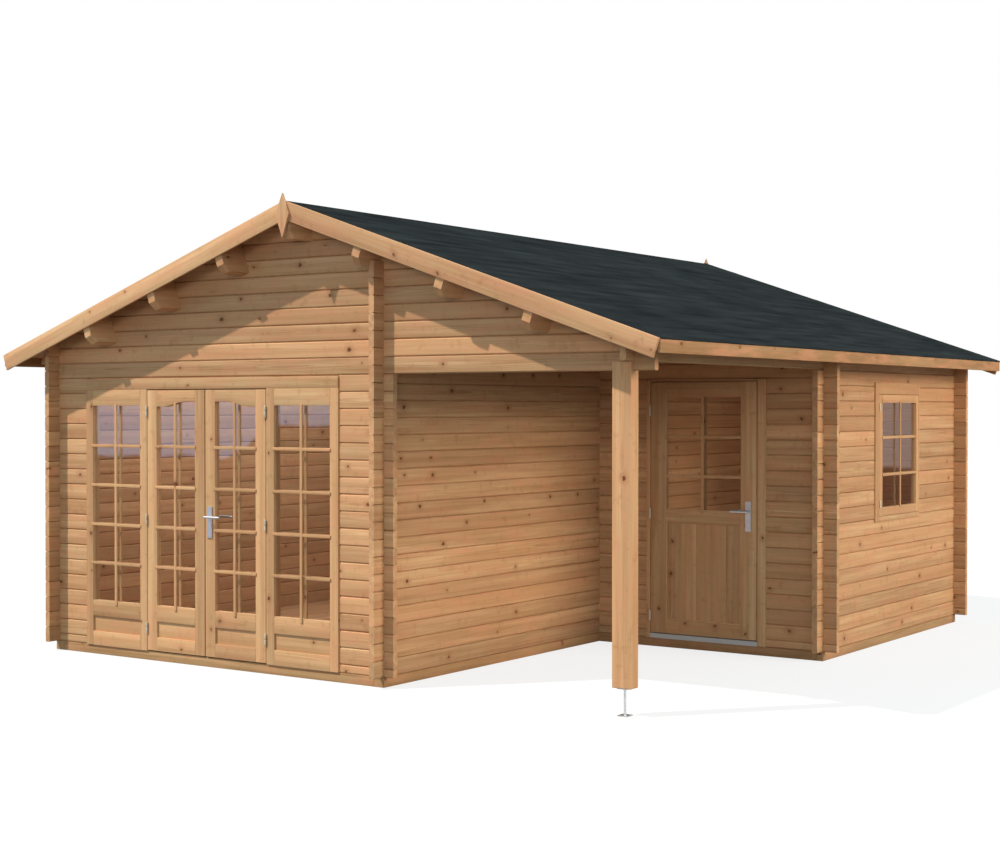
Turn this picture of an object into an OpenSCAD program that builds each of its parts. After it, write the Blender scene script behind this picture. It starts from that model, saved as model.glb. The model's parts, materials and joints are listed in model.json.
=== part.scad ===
// Log cabin with a glazed double door, an open porch and a store room under one gable roof.
// Frame: X to the right along the front, Y to the back, Z up, origin on the ground under the roof's middle.
// Walls are stacks of planed logs that cross at the corners with half-height notches.

/* [Logs] */
// Thickness of a wall log
log_t = 44; // [34:1:70]
// Height that one log covers
log_h = 114; // [90:1:146]
// Depth of the bevel along each log edge
groove = 6; // [2:1:10]
// How far log ends stand out past a crossing
end_out = 105; // [60:1:180]
// How far the front wall's short ends stand out at the porch
porch_end_out = 75; // [40:1:180]
// How far the gable's logs stand out at the porch corner
header_out = 134; // [80:1:200]
// How far the upper gable logs stand out at the closed corner
corbel_out = 165; // [105:1:200]

/* [Plan] */
// Width of the main room with its two walls
main_w = 3191; // [2600:1:3800]
// Width of the porch and the store, with the right wall
porch_w = 1895; // [1500:1:2400]
// Depth of the porch, front wall to store wall
porch_d = 2725; // [2200:1:3300]
// Depth of the store with its two walls
store_d = 2769; // [2200:1:3300]

/* [Wall heights] */
// Logs beside the doors, over the first half log
door_logs = 17; // [16:1:20]
// Logs under the window
window_low_logs = 8; // [7:1:10]
// Height of the side walls over the lower edge of the eave beam
eave_rise = 201.5; // [150:0.5:320]

/* [Foundation] */
// Height of the foundation joists
sill_h = 67; // [45:1:120]
// Width of the foundation joists
sill_w = 90; // [80:1:140]
// Width of a floor joist
joist_w = 60; // [40:1:90]
// Largest spacing of the floor joists
joist_pitch = 620; // [400:10:800]
// Thickness of the floor boards
floor_t = 18; // [15:1:28]
// Room left between the floor and the walls
floor_gap = 15; // [13:1:25]

/* [Roof] */
// Slope of the roof in degrees
roof_pitch = 19; // [15:0.5:24]
// How far the eaves stand out past the side walls
eave_out = 302; // [230:1:400]
// How far the barge boards stand out past the end walls
gable_out = 252; // [180:1:400]
// Thickness of the roof boards
deck_t = 18; // [15:1:28]
// Thickness of the roofing felt
felt_t = 4; // [2:1:8]
// Room between the layers of the roof
roof_seat = 0.3; // [0.1:0.1:0.5]
// How far the felt hangs over the eaves
felt_over = 5; // [0:1:30]
// Width of a barge board
barge_w = 122; // [90:1:160]
// Thickness of barge boards, fascias and finials
trim_t = 18; // [12:1:28]
// Height of an eave fascia
fascia_h = 80; // [60:1:110]
// Width of a gable finial
finial_w = 116; // [60:1:160]
// Height of a gable finial
finial_h = 301; // [200:1:360]
// Widest point of a finial below its top
finial_waist = 138; // [90:1:180]
// How far a finial stands over the ridge
finial_up = 46; // [20:1:80]
// Outermost purlin to the outer face of a side wall
purlin_wall = 570; // [450:1:750]
// Largest spacing of the purlins down the slope
purlin_pitch = 720; // [500:10:900]
// Width of a purlin
purlin_w = 67; // [45:1:90]
// Depth of a purlin, square to the roof
purlin_deep = 215; // [150:1:260]
// How far one purlin lies past the middle of the dividing wall
purlin_past = 22; // [0:1:40]
// Bevel under the ends of the purlins
purlin_bevel = 48; // [30:1:110]
// Least height of the roof over the dividing wall
divide_least = 150; // [120:1:200]

/* [Porch post] */
// Width of the post
post_w = 132; // [90:1:160]
// Depth of the post
post_d = 90; // [80:1:140]
// Room between the post and the corner of the porch
post_in = 13; // [0:1:60]
// Height of the post's foot
foot_h = 169; // [90:1:220]
// Width of the foot's two plates
foot_plate = 70; // [50:1:90]
// Thickness of the foot's two plates
foot_plate_t = 6; // [4:1:10]
// Diameter of the foot's rod
foot_rod = 16; // [12:1:24]

/* [Joinery] */
// How far door and window frames stand proud of a wall
frame_proud = 12; // [6:1:16]
// How deep a log end runs into a frame
frame_grip = 20; // [12:1:25]
// Room over a frame for the logs to settle
settle = 6; // [3:1:15]
// Thickness of doors and glazed panels
leaf_t = 44; // [36:1:55]
// Thickness of the glass
glass_t = 4; // [3:1:6]
// Width of the rebate that holds the glass
rebate = 10; // [6:1:15]
// Depth of the sunk panels
panel_sunk = 10; // [5:1:14]
// Gap between a door and the frame beside it
door_gap = 6; // [6:1:10]
// Gap between a door and the frame over it
top_gap = 7; // [6:1:12]
// Gap between the two front doors
meeting_gap = 10; // [8:1:16]
// Room under a door
under_gap = 8; // [6:1:15]

/* [Front doors] */
// Width of the front frame
front_frame_w = 2457; // [2000:1:2900]
// How far the front frame sits left of the middle of its wall
front_frame_off = 16; // [0:1:60]
// Height of the frame's top board
front_head_h = 81; // [60:1:110]
// Hinge line of each front door from the middle of the frame
hinge_half = 580; // [480:1:680]
// Stiles of a fixed side light
side_stile = 72.5; // [50:0.5:90]
// Top rail of a side light
side_rail = 118; // [80:1:150]
// Stiles of a front door
leaf_stile = 93.5; // [70:0.5:110]
// Top rail of a front door over the highest part of its glass
leaf_rail = 83; // [60:1:120]
// Lower edge of the front glass over the ground
glass_z = 405; // [340:1:470]
// Rise of a front door's glass towards the meeting stiles
arch_rise = 35; // [20:1:50]
// Level part of the arched glass beside the hinges
arch_flat = 58; // [20:1:90]
// Level part of the arched glass beside the meeting stile
arch_crown = 96; // [40:1:130]
// Lower edge of the sunk panels over the ground
panel_z = 173; // [140:1:200]
// Rail between the sunk panels and the glass
panel_rail = 117; // [80:1:140]
// Width of the threshold's stop
threshold_w = 21; // [18:1:30]
// Height of the threshold's stop
threshold_h = 23; // [19:1:30]

/* [Store door] */
// Width of the store door's frame
store_frame_w = 1012; // [860:1:1180]
// How far the store door's frame sits left of the middle of its wall
store_frame_off = 12.5; // [0:0.5:60]
// Face of the frame at the hinges
store_jamb_hinge = 34; // [28:1:50]
// Face of the frame at the lock
store_jamb_lock = 69; // [50:1:80]
// Height of the frame's top piece
store_head_h = 12; // [10:1:40]
// Height of the store door's threshold
store_threshold_h = 35; // [25:1:50]
// Stiles of the store door
store_stile = 130.5; // [90:0.5:160]
// Top rail of the store door
store_rail = 112; // [80:1:140]
// Lower edge of the store door's glass over the ground
store_glass_z = 1067; // [900:1:1250]
// Lower edge of the store door's boarded panel over the ground
store_panel_z = 210; // [170:1:260]
// Rail between the boarded panel and the glass
store_panel_rail = 97; // [70:1:130]

/* [Window] */
// Store wall to the window's frame
window_in = 953; // [600:1:1120]
// Width of the window's frame
window_w = 927; // [760:1:1090]
// Frame beside the hinges of the sash
window_jamb = 77; // [60:1:95]
// Sash stile beside the hinges
sash_stile = 66; // [50:1:80]
// Frame and sash stile at the lock
window_lock = 67; // [50:1:90]
// Wood under the window's glass
window_foot = 107; // [85:1:130]
// Wood over the window's glass
window_brow = 156; // [120:1:190]
// Wood of the frame over the log opening
window_cover = 32; // [20:1:40]
// Wood of the frame under the log opening
window_apron = 21; // [15:1:30]

/* [Ironmongery] */
// Radius of a hinge knuckle
knuckle_r = 7; // [5:0.5:9]
// Room between a hinge knuckle and a door's face
knuckle_room = 1; // [0.5:0.5:3]
// Height of one half of a hinge
knuckle_h = 40; // [30:1:60]
// Room between the two halves of a hinge
knuckle_gap = 0.3; // [0.2:0.1:0.5]
// Length of a hinge's flap
flap_l = 30; // [20:1:40]
// Thickness of a hinge's flap
flap_t = 2.5; // [2:0.5:4]
// Lowest hinges over the ground
hinge_low = 240; // [180:1:300]
// Highest hinges below the top of the front doors
hinge_down = 150; // [100:1:220]
// Width of a handle plate
plate_w = 45; // [35:1:55]
// Length of a handle plate
plate_h = 222; // [180:1:260]
// Thickness of a handle plate
plate_t = 8; // [5:1:10]
// Lower end of a handle plate over the ground
plate_z = 920; // [850:1:980]
// Height of a lever over the ground
lever_z = 1068; // [1000:1:1100]
// Length of a lever
lever_l = 130; // [100:1:160]
// Thickness of a lever
lever_d = 18; // [14:1:22]
// Thickness of the spindle that carries a lever
spindle_d = 14; // [10:1:16]
// Distance of a lever from its plate
lever_out = 36; // [28:1:50]

/* [Hidden] */
$fn = 48;
// Small overrun of cutting bodies
over = 1;
// Steps of the arched glass's curve
arch_steps = 12;

// Wall faces
cabin_w = main_w + porch_w;
cabin_d = porch_d + store_d;
left_x = -cabin_w / 2;
right_x = cabin_w / 2;
front_y = -cabin_d / 2;
back_y = cabin_d / 2;
porch_x = left_x + main_w;
divide_x = porch_x - log_t;
store_y = front_y + porch_d;

// Log joints: side walls start on a whole log, front walls on a half log
side_first = sill_h;
front_first = sill_h + log_h / 2;
head_z = front_first + door_logs * log_h;
beam_z = side_first + (door_logs + 1) * log_h;
corbel_z = head_z + log_h;

// Roof lines at a distance from the ridge, from the wall tops up to the felt
slope = tan(roof_pitch);
rise = 1 / cos(roof_pitch);
function roof_under(x) = beam_z + eave_rise + (cabin_w / 2 - abs(x)) * slope;
function deck_under(x) = roof_under(x) + roof_seat * rise;
function deck_top(x) = deck_under(x) + deck_t * rise;
function felt_under(x) = deck_top(x) + roof_seat * rise;
function roof_top(x) = felt_under(x) + felt_t * rise;
ridge_z = roof_top(0);
eave_x = cabin_w / 2 + eave_out;
barge_y = cabin_d / 2 + gable_out;
deck_y = barge_y - trim_t;
most_logs = ceil(ridge_z / log_h);

// Purlins, by their distance down the slope: one lies on the dividing wall, others on both sides of it
divide_mid = divide_x + log_t / 2;
divide_logs = floor((roof_under(divide_mid) - divide_least - side_first) / log_h);
divide_top = side_first + divide_logs * log_h;
divide_down = (divide_mid + purlin_past) * rise;
last_down = (cabin_w / 2 - purlin_wall) * rise;
inner_gaps = ceil(divide_down / purlin_pitch);
outer_gaps = ceil((last_down - divide_down) / purlin_pitch);
purlin_downs = concat(
    [for (i = [1:inner_gaps]) divide_down * i / inner_gaps],
    [for (i = [1:outer_gaps]) divide_down + (last_down - divide_down) * i / outer_gaps]
);
ridge_foot = roof_under(0) - purlin_deep * rise;

// Frames of the front doors
face_out = front_y - frame_proud;
frame_deep = log_t + 2 * frame_proud;
front_frame_x = left_x + (main_w - front_frame_w) / 2 - front_frame_off;
front_mid = front_frame_x + front_frame_w / 2;
frame_top = head_z - settle;
front_head_z = frame_top - front_head_h;
mullion_half = hinge_half + door_gap / 2;
light_w = front_frame_w / 2 - mullion_half;
side_glass_w = light_w - 2 * side_stile;
side_glass_top = front_head_z - side_rail;
leaf_w = hinge_half - door_gap / 2 - meeting_gap / 2;
leaf_z = sill_h + under_gap;
leaf_top = front_head_z - top_gap;
leaf_glass_w = leaf_w - 2 * leaf_stile;
arch_top = leaf_top - leaf_rail;
panel_h = glass_z - panel_rail - panel_z;

// Store door
store_face = store_y - frame_proud;
store_frame_x = porch_x + (porch_w - store_frame_w) / 2 - store_frame_off;
store_frame_x2 = store_frame_x + store_frame_w;
store_leaf_x = store_frame_x + store_jamb_hinge + door_gap;
store_leaf_x2 = store_frame_x2 - store_jamb_lock - door_gap;
store_head_z = frame_top - store_head_h;
store_leaf_z = sill_h + store_threshold_h + under_gap;
store_leaf_top = store_head_z - top_gap;
store_glass_x = store_leaf_x + store_stile;
store_glass_w = store_leaf_x2 - store_leaf_x - 2 * store_stile;
store_glass_top = store_leaf_top - store_rail;
store_panel_h = store_glass_z - store_panel_rail - store_panel_z;

// Window, which ends one log below the eave beam
window_face = right_x + frame_proud;
window_y = store_y + window_in;
window_y2 = window_y + window_w;
window_open_z = side_first + window_low_logs * log_h;
window_open_z2 = beam_z - log_h;
window_z = window_open_z - window_apron;
window_z2 = window_open_z2 + window_cover;
window_glass_y = window_y + window_jamb + sash_stile;
window_glass_w = window_y2 - window_lock - window_glass_y;
window_glass_z = window_z + window_foot;
window_glass_top = window_z2 - window_brow;

// Hinge axes
axis_out = knuckle_r + knuckle_room;
hinge_top = leaf_top - hinge_down;
hinge_mid = (hinge_low + hinge_top) / 2;
front_axis_y = face_out - axis_out;
left_axis_x = front_mid - hinge_half;
right_axis_x = front_mid + hinge_half;
store_axis_x = store_leaf_x - door_gap / 2;
store_axis_y = store_face - axis_out;

wood = "#c4986d";
shaded_wood = "#b5895f";
barge_wood = "#cda57d";
felt_black = "#2d3237";
zinc = "#b4b6b6";
glass_blue = "#9fb2bd";

// A block between two opposite corners
module block(low, high) {
    translate(low) cube(high - low);
}

// A flat outline in X and Z, carried along Y
module along_y(y0, y1) {
    translate([0, y1, 0]) rotate([90, 0, 0]) linear_extrude(y1 - y0) children();
}

// A flat outline in Y and Z, carried along X
module along_x(x0, x1) {
    translate([x0, 0, 0]) rotate([90, 0, 90]) linear_extrude(x1 - x0) children();
}

// Section of a stack of bevelled logs: a is the outer face, z0 and z1 the ends of the stack
function log_joints(z0, z1, first) = [
    for (k = [0:most_logs])
        let (z = first + k * log_h)
        if (z > z0 + groove && z < z1 - groove) z
];
function log_section(a, z0, z1, first) = let (joints = log_joints(z0, z1, first), b = a + log_t)
    concat(
    [[a, z0]],
    [for (z = joints) each [[a, z - groove], [a + groove, z], [a, z + groove]]],
    [[a, z1], [b, z1]],
    [for (i = [len(joints) - 1:-1:0])
        let (z = joints[i])
        each [[b, z + groove], [b - groove, z], [b, z - groove]]],
    [[b, z0]]
);

// Stack of logs that runs along X, with its outer face at y
module front_logs(x0, x1, y, z0, z1) {
    along_x(x0, x1) polygon(log_section(y, z0, z1, front_first));
}

// Stack of logs that runs along Y, with its left face at x
module side_logs(y0, y1, x, z0, z1) {
    along_y(y0, y1) polygon(log_section(x, z0, z1, side_first));
}

// Notches at a crossing, half a log high and centred on the joints of the wall that is cut
module front_notches(x, y, z_from = 0, z_to = ridge_z) {
    for (k = [0:most_logs])
        let (z = front_first + k * log_h)
        if (z >= z_from && z < z_to)
            translate([x, y - over, z - log_h / 4]) cube([log_t, log_t + 2 * over, log_h / 2]);
}
module side_notches(x, y) {
    for (k = [0:most_logs])
        translate([x - over, y, side_first + k * log_h - log_h / 4])
            cube([log_t + 2 * over, log_t, log_h / 2]);
}

// All the room under the roof boards
module under_roof() {
    along_y(-barge_y, barge_y)
        polygon([[-eave_x, 0], [eave_x, 0], [eave_x, roof_under(eave_x)], [0, roof_under(0)],
            [-eave_x, roof_under(eave_x)]]);
}

// The right slope's own axes: X down the slope from the ridge, and Z square to the roof from the wall tops
module on_slope() {
    translate([0, 0, roof_under(0)]) rotate([0, roof_pitch, 0]) children();
}

// Side view of a beam from foot to top, with bevelled ends
module beam_side(foot, top) {
    polygon([[-deck_y, foot + purlin_bevel], [-deck_y + purlin_bevel, foot], [deck_y - purlin_bevel, foot],
        [deck_y, foot + purlin_bevel], [deck_y, top], [-deck_y, top]]);
}

// Slots for the beams where they run through a wall, open at the top
module beam_slots(y0, y1) {
    half = purlin_w / 2 + roof_seat;
    block([-purlin_w / 2, y0, ridge_foot], [purlin_w / 2, y1, ridge_z]);
    for (side = [0, 1], down = purlin_downs)
        mirror([side, 0, 0]) on_slope()
            block([down - half, y0, -purlin_deep - roof_seat], [down + half, y1, purlin_w]);
}

// Floor joists between two foundation joists
module joists(x0, x1, y0, y1) {
    count = ceil((y1 - y0) / joist_pitch) - 1;
    for (i = [1:count])
        let (y = y0 + i * (y1 - y0) / (count + 1) - joist_w / 2)
        block([x0, y, 0], [x1, y + joist_w, sill_h]);
}

// Foundation joists under the walls of the main room, with the floor's joists between them
module main_foundation() {
    color(shaded_wood) union() {
        difference() {
            block([left_x, front_y, 0], [porch_x, back_y, sill_h]);
            block([left_x + sill_w, front_y + sill_w, -over],
                [porch_x - sill_w, back_y - sill_w, sill_h + over]);
        }
        joists(left_x + sill_w, porch_x - sill_w, front_y + sill_w, back_y - sill_w);
    }
}

// Foundation joists of the store, which meet those of the main room
module store_foundation() {
    color(shaded_wood) union() {
        difference() {
            block([porch_x, store_y, 0], [right_x, back_y, sill_h]);
            block([porch_x - over, store_y + sill_w, -over],
                [right_x - sill_w, back_y - sill_w, sill_h + over]);
        }
        joists(porch_x, right_x - sill_w, store_y + sill_w, back_y - sill_w);
    }
}

// Floor boards on the joists, cut round the log ends of the store wall
module main_floor() {
    color(wood) difference() {
        block([left_x + log_t + floor_gap, front_y + log_t + floor_gap, sill_h],
            [divide_x - floor_gap, back_y - log_t - floor_gap, sill_h + floor_t]);
        block([divide_x - end_out - floor_gap, store_y - floor_gap, sill_h - over],
            [divide_x, store_y + log_t + floor_gap, sill_h + floor_t + over]);
    }
}
module store_floor() {
    color(wood) block([porch_x + floor_gap, store_y + log_t + floor_gap, sill_h],
        [right_x - log_t - floor_gap, back_y - log_t - floor_gap, sill_h + floor_t]);
}

// Closed side wall of the main room
module left_wall() {
    color(wood) difference() {
        intersection() {
            side_logs(front_y - end_out, back_y + end_out, left_x, sill_h, ridge_z);
            under_roof();
        }
        side_notches(left_x, front_y);
        side_notches(left_x, back_y - log_t);
    }
}

// Back wall with its gable
module back_wall() {
    y = back_y - log_t;
    color(wood) difference() {
        intersection() {
            front_logs(left_x - end_out, right_x + end_out, y, sill_h, ridge_z);
            under_roof();
        }
        front_notches(left_x, y);
        front_notches(divide_x, y, z_to = divide_top);
        front_notches(right_x - log_t, y);
        beam_slots(y - over, y + log_t + over);
    }
}

// Wall between the main room and the porch and store
module dividing_wall() {
    color(wood) difference() {
        side_logs(front_y - end_out, back_y + end_out, divide_x, sill_h, divide_top);
        side_notches(divide_x, front_y);
        side_notches(divide_x, store_y);
        side_notches(divide_x, back_y - log_t);
        beam_slots(-barge_y, barge_y);
    }
}

// Front wall beside the doors
module front_wall_left() {
    color(wood) difference() {
        front_logs(left_x - end_out, front_frame_x + frame_grip, front_y, sill_h, head_z);
        front_notches(left_x, front_y);
    }
}
module front_wall_right() {
    color(wood) difference() {
        front_logs(front_frame_x + front_frame_w - frame_grip, porch_x + porch_end_out, front_y,
            sill_h, head_z);
        front_notches(divide_x, front_y);
    }
}

// Front gable, which bridges the doors and the porch
module front_gable() {
    color(wood) difference() {
        intersection() {
            front_logs(left_x - corbel_out, right_x + header_out, front_y, head_z, ridge_z);
            under_roof();
        }
        block([left_x - corbel_out - over, front_y - over, head_z - over],
            [left_x - end_out, front_y + log_t + over, corbel_z]);
        front_notches(left_x, front_y);
        front_notches(divide_x, front_y, z_to = divide_top);
        front_notches(right_x - log_t, front_y, beam_z);
        beam_slots(front_y - over, front_y + log_t + over);
    }
}

// Store wall at the back of the porch
module store_wall_left() {
    color(wood) difference() {
        front_logs(divide_x - end_out, store_frame_x + frame_grip, store_y, sill_h, head_z);
        front_notches(divide_x, store_y);
    }
}
module store_wall_right() {
    color(wood) difference() {
        front_logs(store_frame_x2 - frame_grip, right_x + end_out, store_y, sill_h, head_z);
        front_notches(right_x - log_t, store_y);
    }
}
module store_wall_head() {
    color(wood) difference() {
        intersection() {
            front_logs(divide_x - end_out, right_x + end_out, store_y, head_z, ridge_z);
            under_roof();
        }
        front_notches(divide_x, store_y, z_to = divide_top);
        front_notches(right_x - log_t, store_y);
        beam_slots(store_y - over, store_y + log_t + over);
    }
}

// Right wall of the store, around the window
module right_wall_front() {
    color(wood) difference() {
        side_logs(store_y - end_out, window_y + frame_grip, right_x - log_t, sill_h, beam_z);
        side_notches(right_x - log_t, store_y);
    }
}
module right_wall_rear() {
    color(wood) difference() {
        side_logs(window_y2 - frame_grip, back_y + end_out, right_x - log_t, sill_h, beam_z);
        side_notches(right_x - log_t, back_y - log_t);
    }
}
module right_wall_base() {
    color(wood) side_logs(window_y + frame_grip, window_y2 - frame_grip, right_x - log_t,
        sill_h, window_open_z);
}
module right_wall_head() {
    color(wood) side_logs(window_y + frame_grip, window_y2 - frame_grip, right_x - log_t,
        window_open_z2, beam_z);
}

// Top logs of the right wall, which run on over the porch to the front gable
module right_eave_beam() {
    color(wood) difference() {
        intersection() {
            side_logs(front_y - end_out, back_y + end_out, right_x - log_t, beam_z, ridge_z);
            under_roof();
        }
        side_notches(right_x - log_t, front_y);
        side_notches(right_x - log_t, store_y);
        side_notches(right_x - log_t, back_y - log_t);
    }
}

// Roof timbers
module ridge_beam() {
    color(wood) intersection() {
        along_x(-purlin_w / 2, purlin_w / 2) beam_side(ridge_foot, ridge_z);
        under_roof();
    }
}
module purlins() {
    color(wood) for (side = [0, 1], down = purlin_downs)
        mirror([side, 0, 0]) on_slope()
            along_x(down - purlin_w / 2, down + purlin_w / 2) beam_side(-purlin_deep, 0);
}

// Roof boards and felt of one slope
module roof_deck() {
    x = eave_x - trim_t;
    along_y(-deck_y, deck_y)
        polygon([[0, deck_under(0)], [x, deck_under(x)], [x, deck_top(x)], [0, deck_top(0)]]);
}
module roof_felt() {
    x = eave_x + felt_over;
    along_y(-deck_y, deck_y)
        polygon([[0, felt_under(0)], [x, felt_under(x)], [x, roof_top(x)], [0, roof_top(0)]]);
}
module left_roof_deck() {
    color(wood) mirror([1, 0, 0]) roof_deck();
}
module right_roof_deck() {
    color(wood) roof_deck();
}
module left_roof_felt() {
    color(felt_black) mirror([1, 0, 0]) roof_felt();
}
module right_roof_felt() {
    color(felt_black) roof_felt();
}

// Barge boards of one slope: plumb cut at the ridge, square cut at the eaves
module barge_boards() {
    for (y = [-barge_y, deck_y])
        along_y(y, y + trim_t)
            polygon([[0, ridge_z], [eave_x, roof_top(eave_x)],
                [eave_x - barge_w * sin(roof_pitch), roof_top(eave_x) - barge_w * cos(roof_pitch)],
                [0, ridge_z - barge_w / cos(roof_pitch)]]);
}
module left_barge_boards() {
    color(barge_wood) mirror([1, 0, 0]) barge_boards();
}
module right_barge_boards() {
    color(barge_wood) barge_boards();
}

// Boards that close the ends of the roof boards at the eaves
module eave_fascias() {
    inner = eave_x - trim_t;
    foot = deck_top(eave_x) - fascia_h;
    color(barge_wood) for (side = [0, 1])
        mirror([side, 0, 0]) along_y(-deck_y, deck_y)
            polygon([[inner, foot], [eave_x, foot], [eave_x, deck_top(eave_x)], [inner, deck_top(inner)]]);
}

// Spear-shaped boards over the joint of the barge boards
module finials() {
    top = ridge_z + finial_up;
    waist = top - finial_waist;
    color(barge_wood) for (y = [-barge_y - trim_t, barge_y])
        along_y(y, y + trim_t)
            polygon([[0, top], [-finial_w / 2, waist], [0, top - finial_h], [finial_w / 2, waist]]);
}

// Post under the porch corner, slotted round the lowest gable log
module porch_post() {
    x2 = right_x - post_in;
    mid_y = front_y + log_t / 2;
    color(wood) difference() {
        block([x2 - post_w, mid_y - post_d / 2, foot_h], [x2, mid_y + post_d / 2, beam_z]);
        block([x2 - post_w - over, front_y, head_z], [x2 + over, front_y + log_t, beam_z + over]);
    }
}
module post_foot() {
    x = right_x - post_in - post_w / 2;
    y = front_y + log_t / 2;
    h = foot_plate / 2;
    color(zinc) union() {
        block([x - h, y - h, 0], [x + h, y + h, foot_plate_t]);
        translate([x, y, foot_plate_t / 2]) cylinder(d = foot_rod, h = foot_h - foot_plate_t);
        block([x - h, y - h, foot_h - foot_plate_t], [x + h, y + h, foot_h]);
    }
}

// Hole for a pane, right through by its first outline and from the back to the middle by its second:
// the panel stands in its own plane, with x along it, z up and its outer face at y = 0
module glass_hole() {
    rotate([90, 0, 0]) translate([0, 0, -leaf_t - over]) {
        linear_extrude(leaf_t + 2 * over) children(0);
        linear_extrude(leaf_t / 2 + over) children(1);
    }
}

// Sunk panel on both faces
module sunk_panel(x, w, z, h) {
    for (y = [-over, leaf_t - panel_sunk])
        block([x, y, z], [x + w, y + panel_sunk + over, z + h]);
}

// Outline of a plain pane, grown by e on all sides
module pane(x, w, z0, z1, e = 0) {
    translate([x - e, z0 - e]) square([w + 2 * e, z1 - z0 + 2 * e]);
}

// Outline of an arched pane: its head swings up in an S from the hinges at x to the meeting side
module arched_pane(x, w, e = 0) {
    run = w - arch_flat - arch_crown;
    swing = [for (i = [arch_steps:-1:0])
        let (u = i / arch_steps)
        [x + arch_flat + run * u, arch_top + e - arch_rise * (1 + cos(180 * u)) / 2]];
    polygon(concat([[x - e, glass_z - e], [x + w + e, glass_z - e], [x + w + e, arch_top + e]], swing,
        [[x - e, arch_top - arch_rise + e]]));
}

// Head board of the front doors, gripping the logs at both ends
module front_door_head() {
    x2 = front_frame_x + front_frame_w;
    color(wood) difference() {
        block([front_frame_x, face_out, front_head_z], [x2, face_out + frame_deep, frame_top]);
        for (x = [front_frame_x - over, x2 - frame_grip])
            block([x, front_y, front_head_z - over],
                [x + frame_grip + over, front_y + log_t, frame_top + over]);
    }
}
module front_threshold() {
    y2 = front_y + log_t + floor_gap;
    color(shaded_wood) block([front_mid - mullion_half, y2 - threshold_w, sill_h],
        [front_mid + mullion_half, y2, sill_h + threshold_h]);
}

// Fixed side light: glazed panel with the jamb that grips the logs and the post that carries the hinges
module side_light() {
    translate([front_frame_x, face_out, 0]) difference() {
        union() {
            block([0, 0, sill_h], [light_w, leaf_t, front_head_z]);
            block([0, 0, sill_h], [side_stile, frame_deep, front_head_z]);
            block([light_w - side_stile, 0, sill_h], [light_w, frame_deep, front_head_z]);
        }
        glass_hole() {
            pane(side_stile, side_glass_w, glass_z, side_glass_top);
            pane(side_stile, side_glass_w, glass_z, side_glass_top, rebate);
        }
        sunk_panel(side_stile, side_glass_w, panel_z, panel_h);
        block([-over, frame_proud, sill_h - over], [frame_grip, frame_proud + log_t, front_head_z + over]);
    }
}
module light_glass() {
    translate([front_frame_x, face_out + leaf_t / 2, 0]) rotate([90, 0, 0]) translate([0, 0, -glass_t])
        linear_extrude(glass_t) pane(side_stile, side_glass_w, glass_z, side_glass_top, rebate);
}
module mirror_front() {
    translate([2 * front_mid, 0, 0]) mirror([1, 0, 0]) children();
}
module left_side_light() {
    color(wood) side_light();
}
module right_side_light() {
    color(wood) mirror_front() side_light();
}
module side_light_glass() {
    color(glass_blue) {
        light_glass();
        mirror_front() light_glass();
    }
}

// Front door: glazed leaf with an arched pane over a sunk panel
module front_leaf() {
    translate([front_mid - hinge_half + door_gap / 2, face_out, 0]) difference() {
        block([0, 0, leaf_z], [leaf_w, leaf_t, leaf_top]);
        glass_hole() {
            arched_pane(leaf_stile, leaf_glass_w);
            arched_pane(leaf_stile, leaf_glass_w, rebate);
        }
        sunk_panel(leaf_stile, leaf_glass_w, panel_z, panel_h);
    }
}
module leaf_glass() {
    translate([front_mid - hinge_half + door_gap / 2, face_out + leaf_t / 2, 0]) rotate([90, 0, 0])
        translate([0, 0, -glass_t]) linear_extrude(glass_t) arched_pane(leaf_stile, leaf_glass_w, rebate);
}

// One half of a lift-off hinge: side is 1 for the door's half, on top, and -1 for the frame's half
module hinge_half_piece(x, y, z, side, to) {
    low = side > 0 ? z + knuckle_gap / 2 : z - knuckle_h - knuckle_gap / 2;
    x0 = to > 0 ? x : x - flap_l;
    translate([x, y, low]) cylinder(r = knuckle_r, h = knuckle_h);
    block([x0, y + axis_out - flap_t, low], [x0 + flap_l, y + axis_out, low + knuckle_h]);
}
module hinge_set(x, y, side, to) {
    for (z = [hinge_low, hinge_mid, hinge_top]) hinge_half_piece(x, y, z, side, to);
}

// Plates, spindles and levers on both faces of a door: to is the way that the levers point
module handle(x, face, to) {
    reach = plate_t + lever_out;
    start = to > 0 ? x - lever_d : x - lever_l;
    color(zinc) union() {
        for (y = [face - plate_t, face + leaf_t])
            block([x - plate_w / 2, y, plate_z], [x + plate_w / 2, y + plate_t, plate_z + plate_h]);
        for (y = [face - reach, face + leaf_t])
            translate([x, y, lever_z]) rotate([-90, 0, 0]) cylinder(d = spindle_d, h = reach);
        for (y = [face - reach, face + leaf_t + reach])
            translate([start, y, lever_z]) rotate([0, 90, 0]) cylinder(d = lever_d, h = lever_l + lever_d);
    }
}

module left_leaf() {
    color(wood) front_leaf();
}
module left_leaf_glass() {
    color(glass_blue) leaf_glass();
}
module left_leaf_hinges() {
    color(zinc) hinge_set(left_axis_x, front_axis_y, 1, 1);
}
module right_leaf() {
    color(wood) mirror_front() front_leaf();
}
module right_leaf_glass() {
    color(glass_blue) mirror_front() leaf_glass();
}
module right_leaf_hinges() {
    color(zinc) hinge_set(right_axis_x, front_axis_y, 1, -1);
}
module right_leaf_handle() {
    handle(front_mid + meeting_gap / 2 + leaf_stile / 2, face_out, 1);
}

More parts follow.
